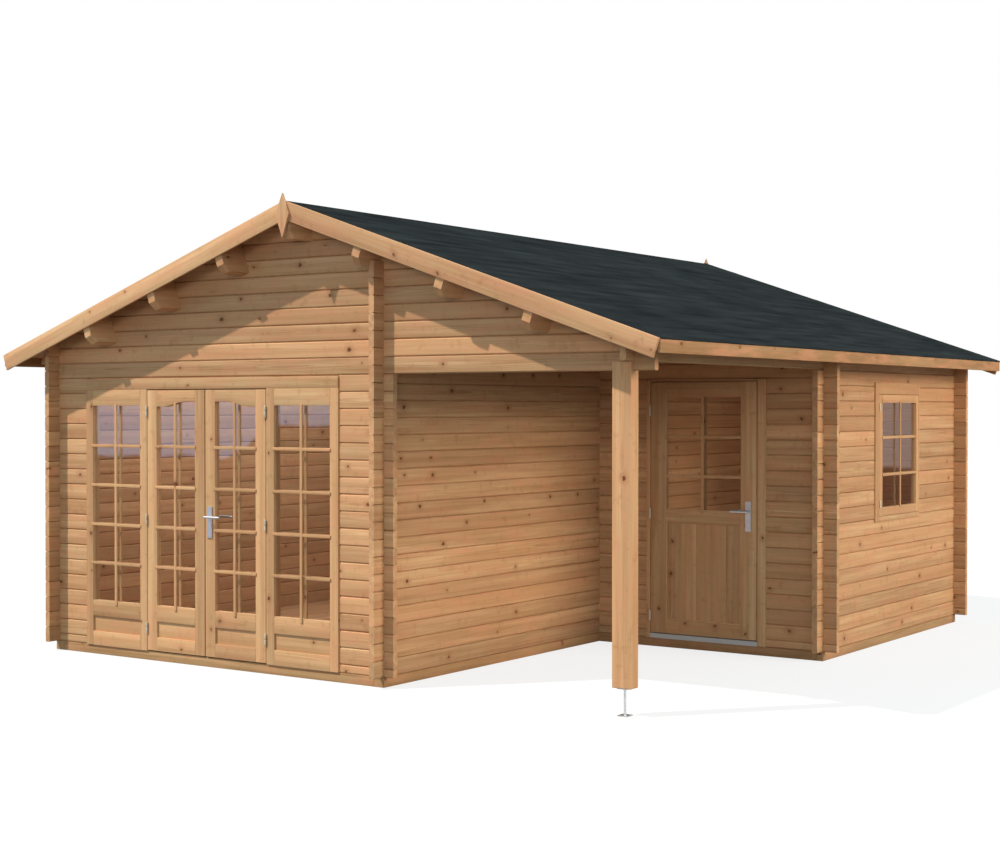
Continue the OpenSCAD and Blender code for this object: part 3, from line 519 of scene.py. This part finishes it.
felt_peak = deck_peak + (DECK_THICK + ROOF_SEAT) / math.cos(ROOF_PITCH)
felt_long = felt_high.x / math.cos(ROOF_PITCH)
upper_edges = FELT_CAP - FELT_LAP + (FELT_ROLL - FELT_LAP) * np.arange(3)
felt_spans = [(FELT_PEAK, FELT_CAP)] + [(edge, min(edge + FELT_ROLL, felt_long)) for edge in upper_edges]
for side, name in ((-1, "left_roof_felt"), (1, "right_roof_felt")):
    strips = felt_strips(felt_spans, felt_low.y, felt_high.y, deck_high.y) * (side, 1, 1)
    timber(name + "_strips", [(strips, 1)], felt_finish, nodes=[name], move=on_slope(felt_peak))

# Barge boards, eave fascias and finials
# Planed boards of paler pine, nailed over the ends of the purlins and of the roof boards. A spear-shaped
# board covers the joint of the barge boards at each end of the ridge.
TRIM_THICK, BARGE_WIDE, BARGE_EDGE = 0.018, 0.122, 0.005
FINIAL_WAIST, FINIAL_EASE, FINIAL_SHARE = 0.138, 0.002, 0.975
trim_pine = pine("trim_pine", (214, 175, 133), (158, 117, 79), (203, 151, 109), knots=0.85, blotch=0.42)
fascia_pine = pine("fascia_pine", (172, 135, 95), (132, 97, 63), (165, 121, 82), knots=0.85, blotch=0.5)
barge_low, barge_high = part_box("right_barge_boards")
barge_long = barge_high.x / math.cos(ROOF_PITCH)


def barge_move(side):
    """Move barge boards onto the slope: sizes run down the slope, along Y and down from the top edge, and the
    start of the board is sheared to a plumb cut at the ridge."""
    place_it = on_slope(barge_high.z)

    def move(points):
        shear = -points[:, 2] * math.tan(ROOF_PITCH)
        down = shear + points[:, 0] * (1 - shear / barge_long)
        return place_it(np.stack([side * down, points[:, 1], points[:, 2]], -1))

    return move


for side, name in ((-1, "left_barge_boards"), (1, "right_barge_boards")):
    low = [(0, barge_low.y, -BARGE_WIDE), (0, barge_high.y - TRIM_THICK, -BARGE_WIDE)]
    high = [(barge_long, barge_low.y + TRIM_THICK, 0), (barge_long, barge_high.y, 0)]
    boards = bars(low, high, 0, BARGE_EDGE)
    timber(name + "_planed", [(boards, 0)], trim_pine, nodes=[name], pith=BOARD_PITH,
           move=barge_move(side))

fascia_low, fascia_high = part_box("eave_fascias")
fascia_x = np.array([fascia_low.x, fascia_high.x - TRIM_THICK])
fascia_top = fascia_high.z - TRIM_THICK * math.tan(ROOF_PITCH)
fascia = bars(
    [(x, fascia_low.y, fascia_low.z) for x in fascia_x],
    [(x + TRIM_THICK, fascia_high.y, fascia_top) for x in fascia_x], 1,
)
timber("eave_fascia_boards", [(fascia, 1)], fascia_pine, nodes=["eave_fascias"], pith=BOARD_PITH)

finial_low, finial_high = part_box("finials")
waist = finial_high.z - FINIAL_WAIST
spear = np.array([(0, finial_high.z), (finial_low.x, waist), (0, finial_low.z), (finial_high.x, waist)])
inside = spear.mean(0) + (spear - spear.mean(0)) * FINIAL_SHARE
stations = np.stack([inside, spear, spear, inside])
thickness = np.array([0, FINIAL_EASE, TRIM_THICK - FINIAL_EASE, TRIM_THICK])
spears = np.empty((2, 4, 4, 3))
spears[..., 0], spears[..., 2] = stations[..., 0], stations[..., 1]
finial_y = np.array([finial_low.y, finial_high.y - TRIM_THICK])
spears[..., 1] = finial_y[:, None, None] + thickness[None, :, None]
timber("finial_spears", [(spears, 2)], trim_pine, nodes=["finials"], pith=BOARD_PITH)

# Porch post
# A squared pine post under the corner of the porch, slotted at its head over the lowest gable log. It stands
# on an adjustable steel foot: two plates and a threaded rod.
POST_EDGE = 0.005
post_pine = pine("post_pine", (208, 168, 126), (162, 119, 80), (198, 147, 105), knots=0.95)
post = bars(*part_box("porch_post"), 2, POST_EDGE)
timber("porch_post_timber", [(post, 2)], post_pine, nodes=["porch_post"], pith=BOARD_PITH)

zinc_finish, put = empty_finish("dull_zinc")
place = put("TexCoord")["Object"]
cloudy = Figure(put("TexNoise", {"Vector": place, "Scale": 60.0, "Detail": 3.0})[0])
surface = put("BsdfPrincipled", {
    "Base Color": blend(put, cloudy, shade(176, 180, 182), shade(206, 208, 208)),
    "Metallic": 0.85, "Roughness": cloudy * 0.2 + 0.28,
})
put("OutputMaterial", {0: surface[0]})


def dress(node, finish):
    """Give its finish and its slot to a piece that keeps its CAD shape."""
    piece = frame["nodes"][node]
    piece.data.materials.clear()
    piece.data.materials.append(finish)


dress("post_foot", zinc_finish)

# Front door set
# Four glazed pine panels under one head board: two fixed side lights and two doors between them. Stiles and
# rails are tenoned, the foot holds a sunk panel, and planted glazing bars part the panes on both faces.
DOOR_THICK, JAMB_DEEP = 0.044, 0.068
SIDE_STILE, LEAF_STILE, RAIL_EDGE = 0.0725, 0.0935, 0.002
GLASS_Z, PANEL_Z, PANEL_TOP, PANEL_SUNK, PANEL_TENON = 0.405, 0.173, 0.288, 0.014, 0.010
SIDE_GLASS_TOP, ARCH_TOP, ARCH_RISE, ARCH_FLAT, ARCH_CROWN = 1.857, 1.885, 0.035, 0.058, 0.096
BAR_WIDE, BAR_PROUD, BAR_SEAT, BAR_PAST, BAR_FOOT, BAR_UNDER = 0.022, 0.008, 0.004, 0.010, 0.028, 0.0008
FRONT_BAR_Z = (0.685, 0.974, 1.266, 1.559)
STOP_THICK, STOP_OVER, STOP_ROOM, STOP_SEAT = 0.016, 0.022, 0.007, 0.004
HEAD_EDGE = 0.004
joinery_pine = pine("joinery_pine", (210, 171, 128), (172, 129, 87), (202, 152, 108), knots=0.5)
light_low, light_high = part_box("left_side_light")
leaf_low, leaf_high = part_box("left_leaf")
other_low, other_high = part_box("right_side_light")
head_low, head_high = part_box("front_door_head")
front_middle = (light_low.x + other_high.x) / 2
door_face, door_back = light_low.y, light_low.y + DOOR_THICK
stop_near = door_back + STOP_ROOM


def mirrored(points):
    """The other side of the door set: X is turned about its middle line."""
    return np.stack([2 * front_middle - points[:, 0], points[:, 1], points[:, 2]], -1)


def glazing_bars(x0, x1, z0, z1, face, levels):
    """Planted bars over a pane: one upright in its middle and one level bar at each height, a little past the
    glass, on both faces of a door that starts at face."""
    middle, half, back = (x0 + x1) / 2, BAR_WIDE / 2, face + DOOR_THICK
    upright, level = [], []
    for near, far in ((face - BAR_PROUD, face + BAR_SEAT), (back - BAR_SEAT, back + BAR_PROUD)):
        upright.append(bars((middle - half, near, z0 - BAR_FOOT), (middle + half, far, z1 + BAR_PAST), 2))
        level.append(bars(
            [(x0 - BAR_PAST, near + BAR_UNDER, z - half) for z in levels],
            [(x1 + BAR_PAST, far - BAR_UNDER, z + half) for z in levels], 0,
        ))
    return [(np.concatenate(upright), 2), (np.concatenate(level), 0)]


def front_panel(low, high, stile, jamb):
    """Stiles, lower rails and sunk panel of one front panel. jamb is the depth of its stiles."""
    x0, x1, face, back = low.x + stile, high.x - stile, low.y, low.y + DOOR_THICK
    ends = [(low.x, x0), (x1, high.x)]
    stiles = bars([(a, face, low.z) for a, _ in ends], [(b, face + jamb, high.z) for _, b in ends], 2)
    heights = [(low.z, PANEL_Z), (PANEL_TOP, GLASS_Z)]
    rails = bars([(x0, face, a) for a, _ in heights], [(x1, back, b) for _, b in heights], 0, RAIL_EDGE)
    sunk = bars(
        (x0, face + PANEL_SUNK, PANEL_Z - PANEL_TENON),
        (x1, back - PANEL_SUNK, PANEL_TOP + PANEL_TENON), 0, RAIL_EDGE,
    )
    return [(stiles, 2), (np.concatenate([rails, sunk]), 0)]


for name, move in (("left_side_light", None), ("right_side_light", mirrored)):
    x0, x1 = light_low.x + SIDE_STILE, light_high.x - SIDE_STILE
    top_rail = bars((x0, door_face, SIDE_GLASS_TOP), (x1, door_back, light_high.z), 0, RAIL_EDGE)
    stop = bars(
        (light_high.x - STOP_SEAT, stop_near, light_low.z),
        (leaf_low.x + STOP_OVER, stop_near + STOP_THICK, leaf_high.z - STOP_OVER), 2,
    )
    parts = front_panel(light_low, light_high, SIDE_STILE, JAMB_DEEP) + [(top_rail, 0)]
    parts += glazing_bars(x0, x1, GLASS_Z, SIDE_GLASS_TOP, door_face, FRONT_BAR_Z) + [(stop, 2)]
    timber(name + "_joinery", parts, joinery_pine, nodes=[name], pith=BOARD_PITH, move=move)


def arched_rail(x0, x1, face, back, top, steps=32):
    """Top rail over an arched pane. Its underside is level beside the hinges, then swings up by ARCH_RISE in
    half a cosine wave, and is level again beside the meeting stile."""
    x = np.linspace(x0, x1, steps)
    swing = np.clip((x - x0 - ARCH_FLAT) / (x1 - x0 - ARCH_FLAT - ARCH_CROWN), 0, 1)
    under = ARCH_TOP - ARCH_RISE * (1 + np.cos(math.pi * swing)) / 2
    outline = bars((x0, face, 0), (x1, back, 1), 0, RAIL_EDGE)[0, 1]
    rings = np.repeat(outline[None], steps, 0)
    rings[..., 0] = x[:, None]
    upper = outline[:, 2] > 0.5
    rings[..., 2] = np.where(upper, outline[:, 2] - 1 + top, outline[:, 2] + under[:, None])
    return rings[None]


for name, body, move in (("left_leaf", "left_door", None), ("right_leaf", "right_door", mirrored)):
    x0, x1 = leaf_low.x + LEAF_STILE, leaf_high.x - LEAF_STILE
    parts = front_panel(leaf_low, leaf_high, LEAF_STILE, DOOR_THICK)
    parts.append((arched_rail(x0, x1, door_face, door_back, leaf_high.z), 0))
    parts += glazing_bars(x0, x1, GLASS_Z, ARCH_TOP - ARCH_RISE / 2, door_face, FRONT_BAR_Z)
    timber(name + "_joinery", parts, joinery_pine, body=body, nodes=[name], pith=BOARD_PITH,
           move=move)

head_stop = bars(
    (light_high.x, stop_near, leaf_high.z - STOP_OVER),
    (other_low.x, stop_near + STOP_THICK, head_low.z + STOP_SEAT), 0,
)
parts = [(bars(head_low, head_high, 0, HEAD_EDGE), 0), (head_stop, 0)]
timber("front_head_board", parts, joinery_pine, nodes=["front_door_head"], pith=BOARD_PITH)
sill_stop = bars(*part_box("front_threshold"), 0)
timber("front_threshold_stop", [(sill_stop, 0)], joinery_pine, nodes=["front_threshold"])

# Store door
# A half-glazed pine door in a plain frame at the back of the porch: tenoned stiles and rails, upright boards
# with eased seams behind a planted bead below, and six panes above. Its threshold is a strip of metal.
STORE_STILE, STORE_RAIL, STORE_GLASS_Z = 0.1305, 0.112, 1.067
STORE_PANEL_Z, STORE_PANEL_TOP, STORE_BOARDS, STORE_BOARD_EDGE = 0.210, 0.970, 5, 0.0018
STORE_BAR_Z = (1.32, 1.62)
BEAD_WIDE, BEAD_EDGE, BEAD_BACK, BEAD_SEAT = 0.012, 0.004, 0.002, 0.003
door_low, door_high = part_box("store_door")
face, back = door_low.y, door_high.y
x0, x1 = door_low.x + STORE_STILE, door_high.x - STORE_STILE
pane_top = door_high.z - STORE_RAIL
ends = [(door_low.x, x0), (x1, door_high.x)]
stiles = bars([(a, face, door_low.z) for a, _ in ends], [(b, back, door_high.z) for _, b in ends], 2)
heights = [(door_low.z, STORE_PANEL_Z), (STORE_PANEL_TOP, STORE_GLASS_Z), (pane_top, door_high.z)]
rails = bars([(x0, face, a) for a, _ in heights], [(x1, back, b) for _, b in heights], 0, RAIL_EDGE)
seams = np.linspace(x0, x1, STORE_BOARDS + 1)
boards = bars(
    [(seam, face + PANEL_SUNK, STORE_PANEL_Z - PANEL_TENON) for seam in seams[:-1]],
    [(seam, back - PANEL_SUNK, STORE_PANEL_TOP + PANEL_TENON) for seam in seams[1:]], 2, STORE_BOARD_EDGE,
)
bead_near, bead_far = face + BEAD_BACK, face + PANEL_SUNK + BEAD_SEAT
bead_sides = bars(
    [(x, bead_near, STORE_PANEL_Z) for x in (x0, x1 - BEAD_WIDE)],
    [(x, bead_far, STORE_PANEL_TOP) for x in (x0 + BEAD_WIDE, x1)], 2, BEAD_EDGE,
)
bead_ends = bars(
    [(x0 + BEAD_WIDE, bead_near, z) for z in (STORE_PANEL_Z, STORE_PANEL_TOP - BEAD_WIDE)],
    [(x1 - BEAD_WIDE, bead_far, z) for z in (STORE_PANEL_Z + BEAD_WIDE, STORE_PANEL_TOP)], 0, BEAD_EDGE,
)
parts = [(stiles, 2), (rails, 0), (boards, 2), (bead_sides, 2), (bead_ends, 0)]
parts += glazing_bars(x0, x1, STORE_GLASS_Z, pane_top, face, STORE_BAR_Z)
timber("store_door_joinery", parts, joinery_pine, body="store_door_leaf",
       nodes=["store_door"], pith=BOARD_PITH)

jamb_low, jamb_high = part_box("store_door_jambs")
lip_low, lip_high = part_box("store_threshold")
stop_near, stop_far = back + STOP_ROOM, jamb_high.y
jambs = bars(
    [(x, jamb_low.y, jamb_low.z) for x in (jamb_low.x, lip_high.x)],
    [(x, jamb_high.y, jamb_high.z) for x in (lip_low.x, jamb_high.x)], 2,
)
stops = bars(
    [(x, stop_near, jamb_low.z) for x in (lip_low.x - STOP_SEAT, door_high.x - STOP_OVER)],
    [(x, stop_far, door_high.z) for x in (door_low.x + STOP_OVER, lip_high.x + STOP_SEAT)], 2,
)
timber("store_door_jamb_posts", [(jambs, 2), (stops, 2)], joinery_pine,
       nodes=["store_door_jambs"], pith=BOARD_PITH)
top_stop = bars(
    (lip_low.x, stop_near, door_high.z - STOP_OVER), (lip_high.x, stop_far, jamb_high.z + STOP_SEAT), 0,
)
parts = [(bars(*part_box("store_door_head"), 0, RAIL_EDGE), 0), (top_stop, 0)]
timber("store_door_head_board", parts, joinery_pine,
       nodes=["store_door_head"], pith=BOARD_PITH)

strip_finish, put = empty_finish("worn_metal")
surface = put("BsdfPrincipled", {
    "Base Color": shade(178, 176, 174), "Metallic": 0.2, "Roughness": 0.55, "Specular IOR Level": 0.2,
})
put("OutputMaterial", {0: surface[0]})
dress("store_threshold", strip_finish)

# Store window
# A side-hung pine sash of six panes, closed in a frame that grips the cut logs. The frame's face boards lie
# on the wall, a narrow shadow line parts them from the sash, and planted bars part the panes on both faces.
WINDOW_JAMB, SASH_STILE, WINDOW_LOCK, LOCK_FACE = 0.077, 0.066, 0.067, 0.022
WINDOW_FOOT, WINDOW_BROW, FOOT_FACE, BROW_FACE = 0.107, 0.156, 0.038, 0.090
WINDOW_BAR_Z = (1.32, 1.61)
SASH_GAP, SASH_BACK = 0.0025, 0.001
WINDOW_BAR_OUT, WINDOW_BAR_IN = (-0.005, 0.006), (-0.007, 0.004)
window_low, window_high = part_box("window_frame")
proud = window_high.x
frame_y = (window_low.y + WINDOW_JAMB, window_high.y - LOCK_FACE)
frame_z = (window_low.z + FOOT_FACE, window_high.z - BROW_FACE)
sash_y = (frame_y[0] + SASH_GAP, frame_y[1] - SASH_GAP)
sash_z = (frame_z[0] + SASH_GAP, frame_z[1] - SASH_GAP)
pane_y = (frame_y[0] + SASH_STILE, window_high.y - WINDOW_LOCK)
pane_z = (window_low.z + WINDOW_FOOT, window_high.z - WINDOW_BROW)


def window_boards(inner, outer, edge_y, edge_z, hole_y, hole_z):
    """Four boards round an opening, uprights over the full height: X from inner to outer, and Y and Z as
    pairs for the outer edges and for the hole."""
    uprights = bars(
        [(inner, y, edge_z[0]) for y in (edge_y[0], hole_y[1])],
        [(outer, y, edge_z[1]) for y in (hole_y[0], edge_y[1])], 2,
    )
    levels = bars(
        [(inner, hole_y[0], z) for z in (edge_z[0], hole_z[1])],
        [(outer, hole_y[1], z) for z in (hole_z[0], edge_z[1])], 1,
    )
    return [(uprights, 2), (levels, 1)]


window_y, window_z = (window_low.y, window_high.y), (window_low.z, window_high.z)
parts = window_boards(window_low.x, proud, window_y, window_z, frame_y, frame_z)
parts += window_boards(proud - DOOR_THICK, proud - SASH_BACK, sash_y, sash_z, pane_y, pane_z)
middle, half = (pane_y[0] + pane_y[1]) / 2, BAR_WIDE / 2
for sash_face, (start, end) in ((proud, WINDOW_BAR_OUT), (proud - DOOR_THICK, WINDOW_BAR_IN)):
    near, far = sash_face + start, sash_face + end
    upright = bars((near, middle - half, pane_z[0] - BAR_PAST), (far, middle + half, pane_z[1] + BAR_PAST), 2)
    levels = bars(
        [(near, pane_y[0] - BAR_PAST, z - half) for z in WINDOW_BAR_Z],
        [(far - BAR_UNDER, pane_y[1] + BAR_PAST, z + half) for z in WINDOW_BAR_Z], 1,
    )
    parts += [(upright, 2), (levels, 1)]
timber("store_window_joinery", parts, joinery_pine, nodes=["window_frame"], pith=BOARD_PITH)

# Glass
# Clear float glass bedded in the rebates of the doors, side lights and window. It lets the rooms show and
# mirrors some of the sky.
GLASS_BEND = 1.5
glass_finish, put = empty_finish("float_glass")
leaving = Figure(put("NewGeometry")["Backfacing"])
mirror = put("Fresnel", {"IOR": leaving * (1 / GLASS_BEND - GLASS_BEND) + GLASS_BEND})[0]
clear = put("BsdfTransparent", {"Color": (0.93, 0.94, 0.94, 1)})[0]
shine = put("BsdfGlossy", {"Color": (0.95, 0.95, 0.97, 1), "Roughness": 0.0})[0]
put("OutputMaterial", {0: put("MixShader", {0: mirror, 1: clear, 2: shine})[0]})
for node in ("side_light_glass", "left_leaf_glass", "right_leaf_glass", "store_door_glass", "window_glass"):
    dress(node, glass_finish)

# Hinges
# Turned steel barrels in two halves with a dull yellow zinc coat, one half screwed into the edge of the door
# and the other into its frame. The window's sash hangs on two small ones.
BARREL_ROUND, BARREL_HALF, BARREL_GAP, HINGE_Z = 0.0075, 0.040, 0.0002, (0.240, 1.029, 1.818)
WINDOW_BARREL_ROUND, WINDOW_BARREL_HALF, WINDOW_BARREL_OUT = 0.006, 0.03, 0.004
WINDOW_HINGE_Z = (1.091, 1.843)


def barrels(middles, radius, lows, highs):
    """Upright turned pins: a circle of sixteen points across, and both ends drawn in to a rounded tip."""
    turn = np.linspace(0, 2 * math.pi, 16, endpoint=False)
    share, wide = np.array([0, 0.04, 0.10, 0.90, 0.96, 1.0]), np.array([0.55, 0.9, 1, 1, 0.9, 0.55])
    rings = np.empty((len(middles), len(share), len(turn), 3))
    for axis, wave in ((0, np.cos(turn)), (1, np.sin(turn))):
        rings[..., axis] = np.array(middles)[:, axis, None, None] + radius * wide[None, :, None] * wave
    lows, highs = np.array(lows)[:, None, None], np.array(highs)[:, None, None]
    rings[..., 2] = lows + (highs - lows) * share[None, :, None]
    return rings


hinge_finish, put = empty_finish("yellow_zinc")
surface = put("BsdfPrincipled", {"Base Color": shade(200, 188, 166), "Metallic": 0.2, "Roughness": 0.5})
put("OutputMaterial", {0: surface[0]})
axles = {joint["child"]: joint["pos_m"][:2] for joint in frame["joints"]}
door_hinges = (
    ("left_door", "left_leaf_hinges"),
    ("right_door", "right_leaf_hinges"),
    ("store_door_leaf", "store_door_hinges"),
)
levels = np.array(HINGE_Z)
for body, node in door_hinges:
    pins = barrels([axles[body]] * len(levels), BARREL_ROUND, levels + BARREL_GAP, levels + BARREL_HALF)
    timber(node + "_pins", [(pins, 2)], hinge_finish, body=body, nodes=[node])
places = [axle for axle in axles.values() for _ in HINGE_Z]
levels = np.array(HINGE_Z * len(axles))
pins = barrels(places, BARREL_ROUND, levels - BARREL_HALF, levels - BARREL_GAP)
timber("frame_hinge_pins", [(pins, 2)], hinge_finish, nodes=["frame_hinges"])
window_axle = (proud + WINDOW_BARREL_OUT, frame_y[0] + SASH_GAP / 2)
levels = np.array(WINDOW_HINGE_Z)
pins = barrels(
    [window_axle] * len(levels), WINDOW_BARREL_ROUND,
    levels - WINDOW_BARREL_HALF, levels + WINDOW_BARREL_HALF,
)
timber("window_hinge_pins", [(pins, 2)], hinge_finish)

# Door handles
# Long plates and straight levers of brushed zinc, screwed on both faces of the right front door and of the
# store door.
for node in ("right_leaf_handle", "store_door_handle"):
    dress(node, zinc_finish)

# Studio
# A pale floor that runs out of sight, a white surround, one sun from the front left, a wide soft light from
# the right, a weak fill from the front and a lamp in each room. Cards that only mirrors see stand for sky and
# land in the panes. The camera stands where the picture was taken.
FLOOR_REACH, FLOOR_Z, CARD_Z, CARD_TOP = 60.0, -0.001, 0.004, 14.0
WHITE, FLOOR_GLOW = (1, 1, 1, 1), 0.80
scene = bpy.context.scene
scene.view_settings.view_transform = "Standard"


def seen_plainly(paths):
    """1 for what the lens, a mirror or a clear pane shows directly, and 0 for light that only bounces."""
    lens, mirrors, panes = (Figure(paths[f"Is {kind} Ray"]) for kind in ("Camera", "Glossy", "Transmission"))
    return lens.of("MAXIMUM", mirrors).of("MAXIMUM", panes)


corners = [(-1, -1), (1, -1), (1, 1), (-1, 1)]
floor_mesh = bpy.data.meshes.new("floor")
floor_mesh.from_pydata([(x * FLOOR_REACH, y * FLOOR_REACH, FLOOR_Z) for x, y in corners], [], [(0, 1, 2, 3)])
floor = bpy.data.objects.new("floor", floor_mesh)
scene.collection.objects.link(floor)
floor_finish, put = empty_finish("pale_floor")
seen = seen_plainly(put("LightPath"))
glow = put("Emission", {"Color": WHITE, "Strength": 1.0})[0]
paint = blend(put, seen, (0.15, 0.155, 0.155, 1), (0.90, 0.90, 0.90, 1))
matt = put("BsdfDiffuse", {"Color": paint})[0]
put("OutputMaterial", {0: put("MixShader", {0: seen * FLOOR_GLOW, 1: matt, 2: glow})[0]})
floor_mesh.materials.append(floor_finish)

world = bpy.data.worlds.new("surround")
scene.world = world
world.use_nodes = True
tree = world.node_tree
tree.nodes.clear()
seen = seen_plainly(tree.nodes.new("ShaderNodeLightPath").outputs)
white, sky = (tree.nodes.new("ShaderNodeBackground") for _ in range(2))
white.inputs[0].default_value, white.inputs[1].default_value = WHITE, 1.0
sky.inputs[0].default_value, sky.inputs[1].default_value = (0.68, 0.92, 0.99, 1), 0.66
either, end = tree.nodes.new("ShaderNodeMixShader"), tree.nodes.new("ShaderNodeOutputWorld")
for source, target in ((seen.socket, either.inputs[0]), (sky.outputs[0], either.inputs[1]),
                       (white.outputs[0], either.inputs[2]), (either.outputs[0], end.inputs[0])):
    tree.links.new(source, target)


def lamp(name, kind, strength, colour, toward, place=(0, 0, 0), **settings):
    """Lamp at a place that shines in a direction."""
    data = bpy.data.lights.new(name, kind)
    data.energy, data.color = strength, colour
    for setting, value in settings.items():
        setattr(data, setting, value)
    made = bpy.data.objects.new(name, data)
    made.location = place
    flat = math.hypot(toward[0], toward[1])
    made.rotation_euler = (math.atan2(flat, -toward[2]), 0, math.atan2(toward[1], toward[0]) - math.pi / 2)
    scene.collection.objects.link(made)


lamp("sun", "SUN", 3.75, (1.0, 0.925, 0.84), (0.399, 0.479, -0.782), angle=math.radians(1.2))
soft_lamps = (
    ("right_softbox", 4300.0, (1.0, 0.86, 0.70), (-1.0, -0.15, -0.31), (24.0, 3.8, 8.5), 11.0, 8.5),
    ("front_fill", 1800.0, (1.0, 0.97, 0.93), (-0.43, 1.0, -0.11), (14.0, -32.0, 5.5), 14.0, 5.0),
    ("room_light", 47.0, (0.92, 0.98, 1.0), (0, 0, -1), (-1.1, -1.0, 2.35), 3.2, 2.4),
    ("store_light", 6.0, (1.0, 0.80, 0.62), (0, 0, -1), (1.6, 1.4, 2.2), 2.0, 1.2),
)
for name, watts, colour, toward, place, wide, high in soft_lamps:
    lamp(name, "AREA", watts, colour, toward, place, shape="RECTANGLE", size=wide, size_y=high)


def mirror_card(name, left, right, far, near, skyline, under, over):
    """Card that only mirrors see: an upright sheet at far over a ground sheet that reaches to near, with one
    colour under the skyline and one over it. The skyline has a height, and a rise between two X places."""
    height, rise, rise_from, rise_to = skyline
    top = [(left, far, CARD_TOP), (right, far, CARD_TOP)]
    ground = [(right, far, CARD_Z), (left, far, CARD_Z), (left, near, CARD_Z), (right, near, CARD_Z)]
    sheet = bpy.data.meshes.new(name)
    sheet.from_pydata(top + ground, [], [(0, 1, 2, 3), (2, 3, 4, 5)])
    finish, put = empty_finish(name + "_paint")
    spot = put("TexCoord")["Object"]
    across, _, level = (Figure(socket) for socket in put("SeparateXYZ", {0: spot}))
    rough = Figure(put("TexNoise", {"Vector": spot, "Scale": 0.9, "Detail": 3.0})[0])
    hills = across.between(rise_from, rise_to) * rise + (rough - 0.5) * 0.35 + height
    above = (level - hills).between(-0.06, 0.06)
    tint = blend(put, above, (*under, 1), (*over, 1))
    put("OutputMaterial", {0: put("Emission", {"Color": tint, "Strength": 1.0})[0]})
    sheet.materials.append(finish)
    card = bpy.data.objects.new(name, sheet)
    scene.collection.objects.link(card)
    for sight in ("camera", "diffuse", "transmission", "shadow", "volume_scatter"):
        setattr(card, "visible_" + sight, False)


mirror_card("front_card", -45, 2, -22, -3.2, (0.70, 0.76, -19.4, -17.6),
            under=(0.35, 0.19, 0.10), over=(1.18, 1.50, 2.10))
mirror_card("side_card", 4, 24, 24, 4, (0.50, 0.0, 0.0, 1.0),
            under=(0.18, 0.09, 0.06), over=(0.74, 0.57, 0.50))

camera = bpy.data.cameras.new("camera")
camera.lens, camera.sensor_width, camera.clip_end = 60.99, 36.0, 200.0
eye = bpy.data.objects.new("camera", camera)
eye.location = (7.5807, -11.4642, 1.8397)
eye.rotation_euler = (math.radians(90 - 0.7093), 0, math.radians(34.578))
scene.collection.objects.link(eye)
scene.camera = eye
